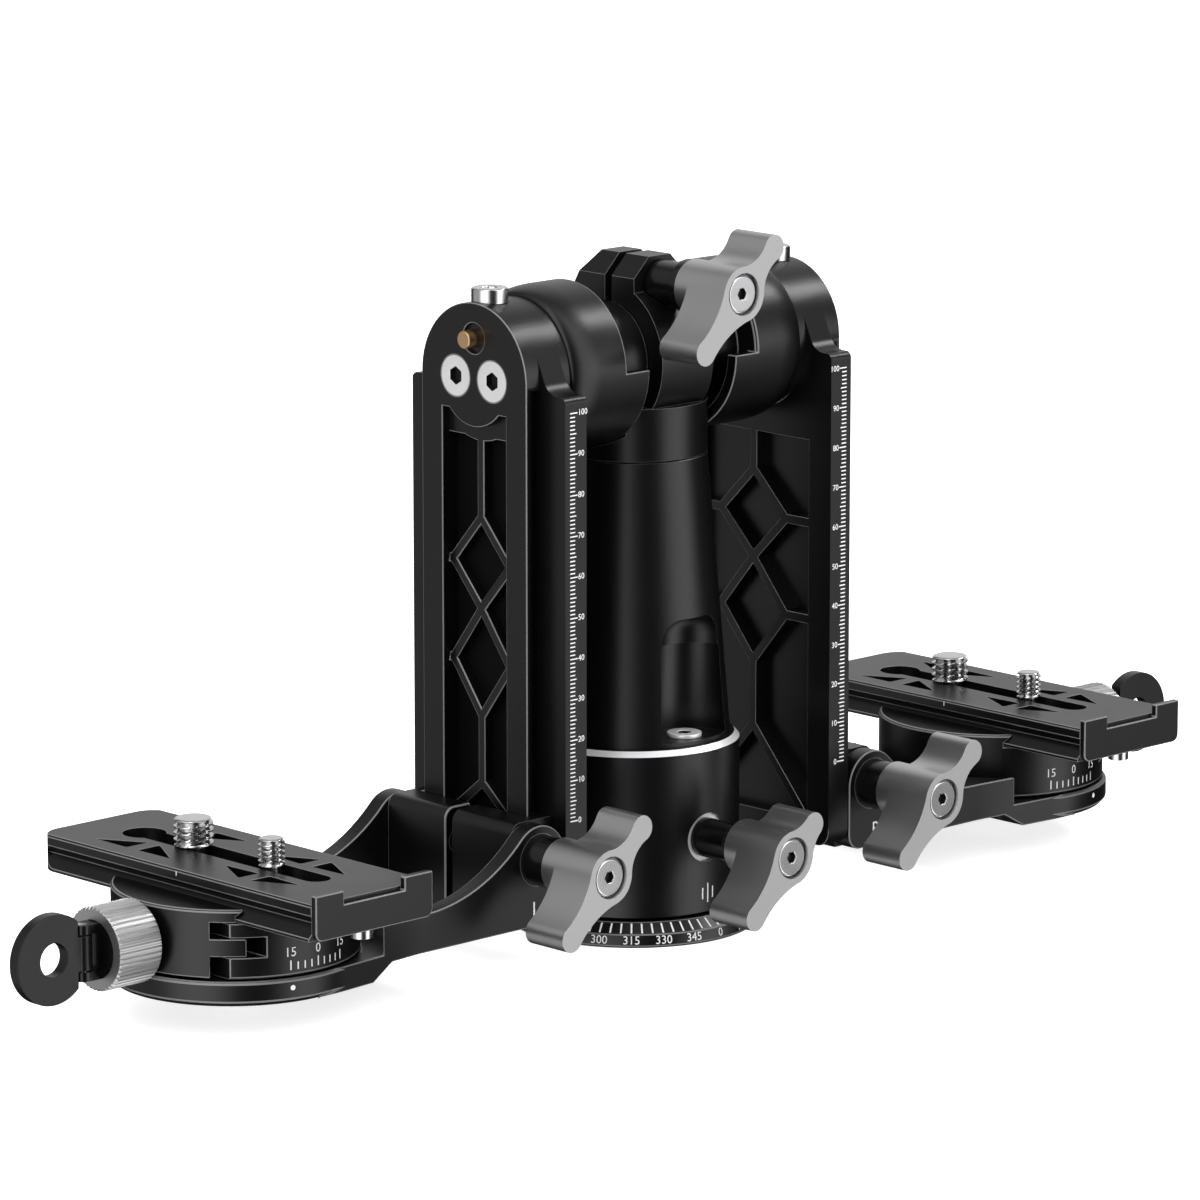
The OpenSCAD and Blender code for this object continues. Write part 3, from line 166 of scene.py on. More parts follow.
def white_sweep():
    """Paper that the camera sees as white, with the head's own soft shadow left in."""
    bpy.ops.object.select_all(action="DESELECT")
    bpy.ops.mesh.primitive_circle_add(vertices=96, radius=FLOOR_R, fill_type="NGON", location=(0, 0, 0))
    floor = bpy.context.object
    floor.name = "floor"
    floor.visible_glossy = False
    paper = bpy.data.materials.new("sweep_paper")
    paper.use_nodes = True
    tree = paper.node_tree
    shader = tree.nodes["Principled BSDF"]
    shader.inputs["Base Color"].default_value = (0.8, 0.8, 0.8, 1)
    shader.inputs["Roughness"].default_value = 0.9
    shader.inputs["Specular IOR Level"].default_value = 0.1
    glow = tree.nodes.new("ShaderNodeEmission")
    path = tree.nodes.new("ShaderNodeLightPath")
    level = tree.nodes.new("ShaderNodeMath")
    level.operation = "MULTIPLY"
    level.inputs[1].default_value = PAPER_GLOW
    add = tree.nodes.new("ShaderNodeAddShader")
    link(tree,
         (path.outputs["Is Camera Ray"], level.inputs[0]),
         (level.outputs["Value"], glow.inputs["Strength"]),
         (shader.outputs["BSDF"], add.inputs[0]),
         (glow.outputs["Emission"], add.inputs[1]),
         (add.outputs["Shader"], tree.nodes["Material Output"].inputs["Surface"]))
    floor.data.materials.append(paper)


white_sweep()


# Base plate. A turned aluminium disc, blasted and anodised black, with the degree ring's
# numbers printed on its rim and its ticks on the sloping shoulder above.
MM = 0.001
BAND_TOP_R = 30.7
BAND_H = 3.4
SHOULDER_R = 27.6
BASE_H = 5.8
RIM_R, RIM_Z, RIM_LEAN = 30.97, 1.95, 0.179
RIM_NUMBER_H = 2.1
RING_TICK_L, RING_TICK_W = 3.0, 0.42
CLOUD_SCALE = 60
BEAD_SCALE, BEAD_DEPTH = 3000, 0.00002


def blasted_metal(name, colour, rough, metallic, grain=0.35, mottle=0.08):
    """Fine-blasted metal: a satin skin whose gloss wanders a little, over a very small grain."""
    material = bpy.data.materials.new(name)
    material.use_nodes = True
    tree = material.node_tree
    shader = tree.nodes["Principled BSDF"]
    shader.inputs["Metallic"].default_value = metallic
    where = tree.nodes.new("ShaderNodeTexCoord")
    cloud = tree.nodes.new("ShaderNodeTexNoise")
    cloud.inputs["Scale"].default_value = CLOUD_SCALE
    cloud.inputs["Detail"].default_value = 3
    gloss = tree.nodes.new("ShaderNodeMapRange")
    gloss.inputs["To Min"].default_value = rough * (1 - mottle)
    gloss.inputs["To Max"].default_value = rough * (1 + mottle)
    tint = tree.nodes.new("ShaderNodeMix")
    tint.data_type = "RGBA"
    tint.inputs["A"].default_value = [c * (1 - mottle) for c in colour] + [1]
    tint.inputs["B"].default_value = [c * (1 + mottle) for c in colour] + [1]
    beads = tree.nodes.new("ShaderNodeTexNoise")
    beads.inputs["Scale"].default_value = BEAD_SCALE
    beads.inputs["Detail"].default_value = 2
    bump = tree.nodes.new("ShaderNodeBump")
    bump.inputs["Strength"].default_value = grain
    bump.inputs["Distance"].default_value = BEAD_DEPTH
    link(tree,
         (where.outputs["Object"], cloud.inputs["Vector"]),
         (where.outputs["Object"], beads.inputs["Vector"]),
         (cloud.outputs["Fac"], gloss.inputs["Value"]),
         (gloss.outputs["Result"], shader.inputs["Roughness"]),
         (cloud.outputs["Fac"], tint.inputs["Factor"]),
         (tint.outputs["Result"], shader.inputs["Base Color"]),
         (beads.outputs["Fac"], bump.inputs["Height"]),
         (bump.outputs["Normal"], shader.inputs["Normal"]))
    return material


satin_black = blasted_metal("satin_black_anodised", (0.0016, 0.0016, 0.0017), 0.34, 0.0)
# The broken edges of the black parts take this lighter grey: a painted highlight, in place of the light their
# bevels would catch.
painted_edge_highlight = blasted_metal("grey_painted_highlight_on_edges", (0.16, 0.16, 0.163), 0.35, 0.0, grain=0.1)
print_white = blasted_metal("printed_white", (0.82, 0.82, 0.82), 0.5, 0.0, grain=0.1, mottle=0.03)

nodes = frame["nodes"]
BODIES = {node: body
          for body, members in frame["record"]["behaviour"]["bodies"].items()
          for node in members}
FLAT_ANGLE = 0.4
SHARP_ANGLE = 20
COPY_WELD = 0.002


def start_clean():
    """Leaves edit mode with nothing selected."""
    if bpy.context.mode != "OBJECT":
        bpy.ops.object.mode_set(mode="OBJECT")
    bpy.ops.object.select_all(action="DESELECT")


def make_active(piece):
    """Selects one piece alone."""
    start_clean()
    piece.select_set(True)
    bpy.context.view_layer.objects.active = piece


def smooth_rounds(piece, angle):
    """Smooths the round faces and keeps the flats flat."""
    make_active(piece)
    bpy.ops.object.shade_smooth_by_angle(angle=math.radians(angle))
    flats = piece.modifiers.new("flat_faces", "WEIGHTED_NORMAL")
    flats.keep_sharp = True
    bpy.ops.object.modifier_apply(modifier=flats.name)


def edge_slot(piece):
    """Makes sure of a second material slot, which the broken edges take."""
    while len(piece.data.materials) < 2:
        piece.data.materials.append(satin_black)


def break_edges(piece, edge_mm, steps=2, angle=32, clamp=True):
    """Bevels the sharp edges into the piece's second material, on most black parts the grey of the painted
    edge highlight.
    """
    make_active(piece)
    edge_slot(piece)
    bevel = piece.modifiers.new("broken_edges", "BEVEL")
    bevel.material = 1
    bevel.width = edge_mm * MM
    bevel.segments = steps
    bevel.limit_method = "ANGLE"
    bevel.angle_limit = math.radians(angle)
    bevel.use_clamp_overlap = clamp
    bpy.ops.object.modifier_apply(modifier=bevel.name)
    smooth_rounds(piece, angle + 8)


def weld(piece, reach_mm):
    """Merges corners that lie within reach of each other and makes flat faces whole."""
    make_active(piece)
    bpy.ops.object.mode_set(mode="EDIT")
    bpy.ops.mesh.select_all(action="SELECT")
    bpy.ops.mesh.remove_doubles(threshold=reach_mm * MM)
    bpy.ops.mesh.dissolve_limited(angle_limit=math.radians(FLAT_ANGLE))
    bpy.ops.object.mode_set(mode="OBJECT")


def solid_copy(node):
    """A copy of a CAD node's mesh with its triangles welded and its flat faces whole."""
    piece = bpy.data.objects.new(node + "_part", nodes[node].data.copy())
    bpy.context.scene.collection.objects.link(piece)
    weld(piece, COPY_WELD)
    return piece


def round_edges(piece, radius_mm, steps, chosen, finish=-1):
    """Rounds the sharp edges whose ends, in mm, make chosen(a, b) true, into a slot if one is given."""
    make_active(piece)
    bpy.ops.object.mode_set(mode="EDIT")
    bpy.ops.mesh.select_mode(type="EDGE")
    bpy.ops.mesh.select_all(action="DESELECT")
    bpy.ops.mesh.edges_select_sharp(sharpness=math.radians(SHARP_ANGLE))
    bpy.ops.object.mode_set(mode="OBJECT")
    sharp = [edge.select for edge in piece.data.edges]
    bpy.ops.object.mode_set(mode="EDIT")
    bpy.ops.mesh.select_all(action="DESELECT")
    bpy.ops.object.mode_set(mode="OBJECT")
    spots = [vertex.co / MM for vertex in piece.data.vertices]
    for edge, is_sharp in zip(piece.data.edges, sharp):
        edge.select = is_sharp and bool(chosen(spots[edge.vertices[0]], spots[edge.vertices[1]]))
    bpy.ops.object.mode_set(mode="EDIT")
    bpy.ops.mesh.bevel(offset=radius_mm * MM, segments=steps, affect="EDGES",
                       clamp_overlap=True, material=finish)
    bpy.ops.object.mode_set(mode="OBJECT")


def stand_for(piece, node, finish, *others, edge=None):
    """The piece takes a node's place and body, in its finish, that of its edges, and any others."""
    for place, material in enumerate((finish, edge or finish) + others):
        if place < len(piece.data.materials):
            piece.data.materials[place] = material
        else:
            piece.data.materials.append(material)
    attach(piece, BODIES[node])
    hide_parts(node)


def machined(node, edge_mm, finish, *others, steps=2, edge=None):
    """The node as the machinist leaves it: same shape, edges broken, in its finish."""
    piece = solid_copy(node)
    break_edges(piece, edge_mm, steps)
    stand_for(piece, node, finish, *others, edge=edge)
    return piece


machined("base_plate", 0.25, satin_black, edge=painted_edge_highlight)

PRINT_T = 0.05
PRINT_WELD = 0.001
FONT_PER_CAPITAL = 1.38


def join_pieces(name, pieces):
    """Several like pieces as one."""
    start_clean()
    for piece in pieces:
        piece.select_set(True)
    bpy.context.view_layer.objects.active = pieces[0]
    if len(pieces) > 1:
        bpy.ops.object.join()
    joined = bpy.context.object
    joined.name = name
    return joined


def stroke(length, width, place, turn=Matrix.Identity(3)):
    """A printed line: length along its own X, width along its own Y, its face along Z, in mm."""
    start_clean()
    bpy.ops.mesh.primitive_cube_add(size=1)
    line = bpy.context.object
    shape = Matrix.Diagonal((length * MM, width * MM, PRINT_T * MM, 1))
    line.data.transform(Matrix.Translation(Vector(place) * MM) @ turn.to_4x4() @ shape)
    return line


def word(text, height_mm, align="CENTER"):
    """Printed characters as a thin solid, about the origin, reading along X, facing Z."""
    start_clean()
    bpy.ops.object.text_add()
    label = bpy.context.object
    label.data.body = text
    label.data.size = height_mm * MM * FONT_PER_CAPITAL
    label.data.align_x = align
    label.data.align_y = "CENTER"
    label.data.extrude = PRINT_T * MM / 2
    label.data.resolution_u = 3
    bpy.ops.object.convert(target="MESH")
    label = bpy.context.object
    bpy.ops.object.mode_set(mode="EDIT")
    bpy.ops.mesh.select_all(action="SELECT")
    bpy.ops.mesh.remove_doubles(threshold=PRINT_WELD * MM)
    bpy.ops.object.mode_set(mode="OBJECT")
    return label


def printed(name, pieces, body):
    """Joins printed marks into one piece that rides on a body."""
    mark = join_pieces(name, pieces)
    mark.data.materials.clear()
    mark.data.materials.append(print_white)
    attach(mark, body)


def wrap_round(label, radius_mm, angle, z_mm, axis=(0, 0), lean=0.0):
    """Bends characters from the flat round an upright axis, on a cylinder or on a cone that leans in."""
    for vertex in label.data.vertices:
        across, up, out = vertex.co
        turn = angle + across / (radius_mm * MM)
        r = radius_mm * MM + out - lean * up
        vertex.co = (axis[0] * MM + r * math.cos(turn), axis[1] * MM + r * math.sin(turn), z_mm * MM + up)
    return label


def degree_ring():
    """Ticks each 5 degrees on the shoulder, numbers each 15 on the rim, zero at the front."""
    marks = []
    slope = math.atan2(BASE_H - BAND_H, BAND_TOP_R - SHOULDER_R)
    for degrees in range(0, 360, 5):
        angle = math.radians(degrees - 90)
        mid_r = (BAND_TOP_R + SHOULDER_R) / 2
        place = (mid_r * math.cos(angle), mid_r * math.sin(angle), (BASE_H + BAND_H) / 2)
        turn = Matrix.Rotation(angle, 3, "Z") @ Matrix.Rotation(slope, 3, "Y")
        marks.append(stroke(RING_TICK_L, RING_TICK_W, place, turn))
        if degrees % 15 == 0:
            number = word(str(degrees), RIM_NUMBER_H)
            marks.append(wrap_round(number, RIM_R, angle, RIM_Z, lean=RIM_LEAN))
    printed("degree_ring", marks, "base")


degree_ring()


# Pan bearing. A steel spindle, its cap and screws, and a bronze bush sit inside the drum
# with the brake shoe that the pan knob presses. All are turned parts, hidden in use.
def turned_metal(name, colour, rough, ring_scale=900):
    """Bright turned metal, with fine tool rings that break up its gloss."""
    material = blasted_metal(name, colour, rough, 1.0, grain=0.15, mottle=0.12)
    tree = material.node_tree
    shader = tree.nodes["Principled BSDF"]
    shader.inputs["Anisotropic"].default_value = 0.3
    where = tree.nodes["Texture Coordinate"]
    rings = tree.nodes.new("ShaderNodeTexWave")
    rings.wave_type = "RINGS"
    rings.rings_direction = "SPHERICAL"
    rings.inputs["Scale"].default_value = ring_scale
    rings.inputs["Distortion"].default_value = 1.5
    bump = tree.nodes.new("ShaderNodeBump")
    bump.inputs["Strength"].default_value = 0.06
    bump.inputs["Distance"].default_value = 0.00001
    link(tree,
         (where.outputs["Object"], rings.inputs["Vector"]),
         (rings.outputs["Fac"], bump.inputs["Height"]),
         (tree.nodes["Bump"].outputs["Normal"], bump.inputs["Normal"]),
         (bump.outputs["Normal"], shader.inputs["Normal"]))
    return material


bright_steel = turned_metal("bright_turned_steel", (0.68, 0.68, 0.69), 0.2)
bronze = turned_metal("turned_bronze", (0.55, 0.36, 0.16), 0.3)


def refinish(node, material):
    """A hidden CAD node keeps its own mesh and takes a finish."""
    nodes[node].data.materials.clear()
    nodes[node].data.materials.append(material)


for hidden in ("base_screws", "pan_spindle", "spindle_cap", "neck_bolt", "tilt_shaft"):
    refinish(hidden, bright_steel)
for hidden in ("pan_bush", "pan_brake_shoe", "tilt_bush"):
    refinish(hidden, bronze)


# Pan housing. The black drum that turns on the base. Its top edge and the seat round the pan
# knob's hole are cut after anodising, so bare aluminium shows there.
pale_metal = blasted_metal("pale_cut_metal", (0.78, 0.78, 0.79), 0.36, 0.5, grain=0.1, mottle=0.04)


def third_finish(piece, chosen):
    """Faces for which chosen(centre, normal) holds, in mm, take the piece's third material."""
    for face in piece.data.polygons:
        if chosen(face.center / MM, face.normal):
            face.material_index = 2


PAN_KNOB_Z = 25.2
SEAT_R, SEAT_DEPTH = 6.5, 1.4
BARE_RING_H = 1.35
# Each index line's place round the wall and its length.
INDEX_LINES = ((-1.7, 2.9), (0, 4.9), (1.7, 2.9))
INDEX_W, INDEX_Z = 0.36, 11.2
housing = machined("pan_housing", 0.12, satin_black, pale_metal)
housing_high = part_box("pan_housing")[1] / MM
housing_r = housing_high.x
seat = Vector((0, SEAT_DEPTH - housing_r, PAN_KNOB_Z))
third_finish(housing, lambda c, n: n.y < -0.99 and abs(c.y - seat.y) < 0.3
             and (c - seat).length < SEAT_R)
third_finish(housing, lambda c, n: c.z > housing_high.z - BARE_RING_H and 0.3 < n.z < 0.95
             and c.xy.length > 0.93 * housing_r)


def on_round_wall(angle):
    """Turns a stroke upright against a drum's wall, at an angle round it."""
    return Matrix.Rotation(angle, 3, "Z") @ Matrix(((0, 0, 1), (0, 1, 0), (-1, 0, 0)))


index_lines = []
for across, length in INDEX_LINES:
    angle = math.radians(-90) + across / housing_r
    place = (housing_r * math.cos(angle), housing_r * math.sin(angle), INDEX_Z)
    index_lines.append(stroke(length, INDEX_W, place, on_round_wall(angle)))
printed("pan_index", index_lines, "head")


# Column. A tapered black tube bolted on the drum, with a round-topped window front and back through
# which a key reaches its two screws. The clamp head on top is split and takes the tilt shaft.
COLUMN_TOP_R = 18.2
FOOT_H = 1.2
BORE_R = 8.4
NECK_R, NECK_T = 5.05, 12
WINDOW_LOW_RS, WINDOW_LOW_Y = (11.0, 9.95), 20.7
WINDOW_TOP_RS, WINDOW_TOP_Y = (9.9, 9.5), 21.8
WINDOW_STEP_Z, WINDOW_TOP_Z, WINDOW_ROUND = 71, 79.8, 5.5
SCREW_Y, SCREW_HOLE_R = 18, 2.55
COLUMN_SOCKET_R, SOCKET_DEPTH = 2.2, 0.35
CUT_WELD = 0.005


def frustum(low_r, high_r, low_z, high_z, x=0.0, y=0.0, sides=128):
    """A turned blank that stands upright, in mm."""
    start_clean()
    bpy.ops.mesh.primitive_cone_add(
        vertices=sides, radius1=low_r * MM, radius2=high_r * MM, depth=(high_z - low_z) * MM,
        location=(x * MM, y * MM, (low_z + high_z) / 2 * MM))
    bpy.ops.object.transform_apply(location=True, rotation=True, scale=True)
    return bpy.context.object


def carve(piece, tool, operation="DIFFERENCE"):
    """Cuts a tool out of a piece, adds it or keeps only what they share, and throws the tool away."""
    make_active(piece)
    cut = piece.modifiers.new("carve", "BOOLEAN")
    cut.operation = operation
    cut.solver = "EXACT"
    cut.object = tool
    bpy.ops.object.modifier_apply(modifier=cut.name)
    bpy.data.objects.remove(tool)
    weld(piece, CUT_WELD)


def column_tube():
    """The turned tube with its foot, bore, windows and screw holes."""
    low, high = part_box("column")
    foot, top, foot_r = low.z / MM, high.z / MM, high.x / MM
    tube = frustum(foot_r, COLUMN_TOP_R, foot + FOOT_H, top, sides=160)
    bpy.ops.object.mode_set(mode="EDIT")
    bpy.ops.mesh.select_mode(type="FACE")
    bpy.ops.mesh.select_all(action="DESELECT")
    bpy.ops.object.mode_set(mode="OBJECT")
    for face in tube.data.polygons:
        face.select = face.normal.z < -0.99
    bpy.ops.object.mode_set(mode="EDIT")
    bpy.ops.mesh.extrude_region_move(TRANSFORM_OT_translate={"value": (0, 0, -FOOT_H * MM)})
    bpy.ops.object.mode_set(mode="OBJECT")
    carve(tube, frustum(BORE_R, BORE_R, foot - 1, top - NECK_T))
    carve(tube, frustum(NECK_R, NECK_R, top - NECK_T - 1, top + 1))
    for toward in (-1, 1):
        lower = frustum(*WINDOW_LOW_RS, foot + FOOT_H, WINDOW_STEP_Z + 0.5, y=toward * WINDOW_LOW_Y)
        upper = frustum(*WINDOW_TOP_RS, WINDOW_STEP_Z, WINDOW_TOP_Z, y=toward * WINDOW_TOP_Y)
        round_edges(upper, WINDOW_ROUND, 8, lambda a, b: min(a.z, b.z) > WINDOW_TOP_Z - 0.1)
        carve(tube, lower)
        carve(tube, upper)
        carve(tube, frustum(SCREW_HOLE_R, SCREW_HOLE_R, foot - 1, foot + 2, y=toward * SCREW_Y, sides=48))
    round_edges(tube, 0.5, 1, lambda a, b: min(a.z, b.z) > top - 0.01
                and a.xy.length > COLUMN_TOP_R - 0.2)
    break_edges(tube, 0.3)
    return tube


stand_for(column_tube(), "column", satin_black, edge=painted_edge_highlight)
# Hex sockets are drawn near black in their screws: painted shade inside the recess.
painted_shade_socket = blasted_metal("painted_shade_hex_socket", (0.003, 0.003, 0.003), 0.6, 0.0)
column_screws = machined("column_screws", 0.2, pale_metal, painted_shade_socket)
screw_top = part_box("column_screws")[1].z / MM
third_finish(column_screws, lambda c, n: c.z < screw_top - SOCKET_DEPTH
             and math.hypot(c.x, abs(c.y) - SCREW_Y) < COLUMN_SOCKET_R)
machined("clamp_head", 0.5, satin_black, steps=3, edge=painted_edge_highlight)


# Hubs and arms. Two round hubs on the tilt shaft carry the two flat arms, milled from the
# solid with trussed pockets. Countersunk screws hold them, a cap screw and a copper pin stop them.
SIDES = {"left": -1, "right": 1}
TRUSS_TOP = 130
# Outlines that are broken first: a plane's distance from the middle, and the height where they end.
ARM_PLANES = ((53.7, 200), (51.5, TRUSS_TOP), (42.0, TRUSS_TOP))
RAIL_X, RAIL_HALF, RAIL_ROUND = 49, 27, 1.6
SHOULDER_Y, SHOULDER_Z, SHOULDER_ROUND = (20, 22.5), (138, 143), 3.0
POCKET_HALF, POCKET_Z, POCKET_DEPTH, POCKET_ROUND = 19.6, (34, 127.4), (0.5, 4), 1.2
TRUSS_FLOOR_X, TRUSS_FLOOR_HALF = (47.5, 50), 12
ARM_SOCKET_X = 53.3
copper = turned_metal("copper_pin", (0.80, 0.52, 0.28), 0.32)
# The floors of the outer truss cells take a darker, duller black with little gloss: painted shade for the
# deep, narrow cells.
painted_shade_pocket_black = blasted_metal("painted_shade_cell_floor", (0.0012, 0.0012, 0.0012), 0.6, 0.0)
painted_shade_pocket_black.node_tree.nodes["Principled BSDF"].inputs["Specular IOR Level"].default_value = 0.1


def runs_along(axis, a, b):
    """Whether an edge runs along one axis, 0 for X to 2 for Z."""
    return all(abs(a[i] - b[i]) < 0.02 for i in range(3) if i != axis)


def milled_arm(side):
    """An arm with round inner corners in its pockets, a round shoulder and soft rail edges."""
    arm = solid_copy("arm_" + side)
    edge_slot(arm)
    # The outlines' narrow rounds go into slot 1, the grey painted edge highlight.
    for plane, top in ARM_PLANES:
        round_edges(arm, 0.25, 2, lambda a, b: max(a.z, b.z) < top
                    and max(abs(abs(a.x) - plane), abs(abs(b.x) - plane)) < 0.05, finish=1)
    round_edges(arm, RAIL_ROUND, 4, lambda a, b: runs_along(2, a, b)
                and abs(abs(a.y) - RAIL_HALF) < 0.1 and abs(abs(a.x) - RAIL_X) < 0.1)
    round_edges(arm, SHOULDER_ROUND, 5, lambda a, b: runs_along(0, a, b)
                and SHOULDER_Y[0] < abs(a.y) < SHOULDER_Y[1] and SHOULDER_Z[0] < a.z < SHOULDER_Z[1])
    round_edges(arm, POCKET_ROUND, 3, lambda a, b: runs_along(0, a, b)
                and POCKET_Z[0] < a.z < POCKET_Z[1] and abs(a.y) < POCKET_HALF
                and POCKET_DEPTH[0] < (a - b).length < POCKET_DEPTH[1])
    break_edges(arm, 0.4)
    stand_for(arm, "arm_" + side, satin_black, painted_shade_pocket_black, edge=painted_edge_highlight)
    # Painted shade: the outer cells' floors take the darker, duller black.
    third_finish(arm, lambda c, n: TRUSS_FLOOR_X[0] < abs(c.x) < TRUSS_FLOOR_X[1] and abs(n.x) > 0.9
                 and abs(c.y) < TRUSS_FLOOR_HALF and POCKET_Z[0] < c.z < TRUSS_TOP)


for side in SIDES:
    machined("hub_" + side, 0.5, satin_black, steps=3, edge=painted_edge_highlight)
    milled_arm(side)
arm_screws = machined("arm_screws", 0.12, pale_metal, painted_shade_socket)
# Painted shade: the countersunk screws' hex sockets are drawn near black.
third_finish(arm_screws, lambda c, n: abs(c.x) < ARM_SOCKET_X)
machined("top_screws", 0.5, bright_steel)
machined("stop_pins", 0.3, copper)

SCALE_ZERO_Z = 37.2
SCALE_EDGE_X = 47.4
SCALE_TICKS = {10: 2.4, 5: 2.0, 1: 1.6}
SCALE_TICK_W = 0.3
SCALE_NUMBER_H, SCALE_NUMBER_IN = 1.5, 2.6
FACING_FRONT = Matrix(((1, 0, 0), (0, 0, -1), (0, 1, 0)))


def arm_scale(side, sign):
    """Millimetre ticks up the rail's front edge, with numbers inboard of them each 10."""
    marks = []
    for millimetre in range(0, 101):
        step = next(step for step in SCALE_TICKS if millimetre % step == 0)
        length = SCALE_TICKS[step]
        height = SCALE_ZERO_Z + millimetre
        place = (sign * (SCALE_EDGE_X - length / 2), -RAIL_HALF, height)
        marks.append(stroke(length, SCALE_TICK_W, place, FACING_FRONT))
        if step == 10:
            number = word(str(millimetre), SCALE_NUMBER_H, "RIGHT" if sign > 0 else "LEFT")
            at = Vector((sign * (SCALE_EDGE_X - SCALE_NUMBER_IN), -RAIL_HALF, height)) * MM
            number.data.transform(Matrix.Translation(at) @ FACING_FRONT.to_4x4())
            marks.append(number)
    printed("arm_scale_" + side, marks, "yoke")


for side, sign in SIDES.items():
    arm_scale(side, sign)


# Lever knobs. Milled and blasted aluminium wings on black studs, each held by a turned cap
# with a hex socket. The edge round the face is cut bright, and is drawn in a flat white that
# stays bright from every side, partly a painted highlight.
CAP_SOCKET_R = 2.5
STUD_TIP_R = 3.95
blasted_silver = blasted_metal("blasted_silver_aluminium", (0.55, 0.55, 0.555), 0.38, 1.0,
                               grain=0.6, mottle=0.06)
# A cut chamfer drawn as flat, non-metal white: partly real bare metal, partly a painted highlight.
cut_edge_painted_highlight = blasted_metal("cut_edge_painted_white_highlight", (0.92, 0.92, 0.92), 0.3, 0.0, grain=0.1, mottle=0.03)
black_steel = blasted_metal("blackened_steel", (0.002, 0.002, 0.0021), 0.24, 0.0, grain=0.15)


def lever(node, cap, stud):
    """One lever knob with its cap screw and stud."""
    wing_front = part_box(node)[0].y / MM
    wing = machined(node, 0.45, blasted_silver, cut_edge_painted_highlight, steps=1)
    # The face's front chamfer takes the white painted highlight.
    third_finish(wing, lambda c, n: c.y < wing_front + 0.5 and -0.92 < n.y < -0.3)
    low, high = [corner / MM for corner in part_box(cap)]
    face_screw = machined(cap, 0.2, bright_steel, painted_shade_socket)
    middle = (low + high) / 2
    # Painted shade: the cap screw's hex socket is drawn near black.
    third_finish(face_screw, lambda c, n: c.y > low.y + SOCKET_DEPTH
                 and math.hypot(c.x - middle.x, c.z - middle.z) < CAP_SOCKET_R)
    post = machined(stud, 0.3, black_steel, bright_steel)
    if node == "pan_knob":
        third_finish(post, lambda c, n: math.hypot(c.x, c.z - PAN_KNOB_Z) < STUD_TIP_R and abs(n.y) < 0.5)


lever("tilt_knob", "tilt_knob_screw", "tilt_knob_stud")
lever("pan_knob", "pan_knob_screw", "pan_knob_stud")
for side in SIDES:
    lever("slider_knob_" + side, "slider_knob_screw_" + side, "slider_knob_stud_" + side)


# Sliders and forks. Two clamping jaws hook round each rail, and a fork hangs from their stud.
# Black anodised like the arms, with the side's letter printed on the fork's front ear.
def block(low, high):
    """A squared blank between two corners, in mm."""
    low, high = Vector(low) * MM, Vector(high) * MM
    start_clean()
    bpy.ops.mesh.primitive_cube_add(size=1, location=(low + high) / 2)
    blank = bpy.context.object
    blank.scale = high - low
    bpy.ops.object.transform_apply(location=True, rotation=True, scale=True)
    return blank


FORK_FRONT_Y = -27.2
LETTER_X, LETTER_Z, LETTER_H = 59.1, 17.6, 3.6
CLAMP_X = 131.0
CLAMP_TURN = 15
PLATFORM_R = 30.4
DOT_R, DOT_Z = 0.62, 13.4
RECESS_R = 35.5
RECESS_Z = 15.5
WEB_T = 10.0
WEB_REACH = 16.0
WEB_Y = 22.8
WEB_LOW, WEB_TOP = 13.35, 22.75


def webbed_fork(side, sign):
    """A fork whose two cheeks are joined by a web, hollowed round the turning clamp."""
    fork = solid_copy("fork_" + side)
    ends = sorted((sign * (CLAMP_X - RECESS_R - WEB_T), sign * (CLAMP_X - RECESS_R + WEB_REACH)))
    web = block((ends[0], -WEB_Y, WEB_LOW), (ends[1], WEB_Y, WEB_TOP))
    carve(web, frustum(RECESS_R, RECESS_R, RECESS_Z, WEB_TOP + 1, x=sign * CLAMP_X))
    break_edges(fork, 0.3, clamp=False)
    carve(fork, web, "UNION")
    smooth_rounds(fork, 40)
    stand_for(fork, "fork_" + side, satin_black, edge=painted_edge_highlight)


def fork_marks(side, sign):
    """The side's letter on the front ear, and the dot on the platform's rim where the clamp's turn ends."""
    letter = word("L" if sign < 0 else "R", LETTER_H)
    spot = Vector((sign * LETTER_X, FORK_FRONT_Y, LETTER_Z)) * MM
    letter.data.transform(Matrix.Translation(spot) @ FACING_FRONT.to_4x4())
    angle = math.radians(-90 + sign * CLAMP_TURN)
    start_clean()
    bpy.ops.mesh.primitive_cylinder_add(vertices=32, radius=DOT_R * MM, depth=PRINT_T * MM)
    dot = bpy.context.object
    rim = Vector((sign * CLAMP_X + PLATFORM_R * math.cos(angle), PLATFORM_R * math.sin(angle), DOT_Z)) * MM
    out = Matrix.Rotation(angle, 3, "Z") @ Matrix.Rotation(math.radians(90), 3, "Y")
    dot.data.transform(Matrix.Translation(rim) @ out.to_4x4())
    printed("fork_marks_" + side, [letter, dot], "fork_" + side)


for side, sign in SIDES.items():
    machined("slider_front_jaw_" + side, 0.4, satin_black, edge=painted_edge_highlight)
    machined("slider_back_jaw_" + side, 0.4, satin_black, edge=painted_edge_highlight)
    webbed_fork(side, sign)
    fork_marks(side, sign)
    refinish("clamp_pivot_" + side, bright_steel)


# Turning clamps. A black bed with a fixed jaw, a sliding jaw with two fingers, and a knurled
# aluminium knob on a black screw, with a folding paddle to turn it by.
CLAMP_R = 29.4
RIBS, RIB_DEPTH = 46, 0.6
KNOB_BORE_R = 7.05


def lying_cylinder(middle, radius, length, sides):
    """A cylinder along X about its middle, in metres."""
    start_clean()
    bpy.ops.mesh.primitive_cylinder_add(
        vertices=sides, radius=radius, depth=length, location=middle, rotation=(0, math.radians(90), 0))
    bpy.ops.object.transform_apply(location=True, rotation=True, scale=True)
    return bpy.context.object


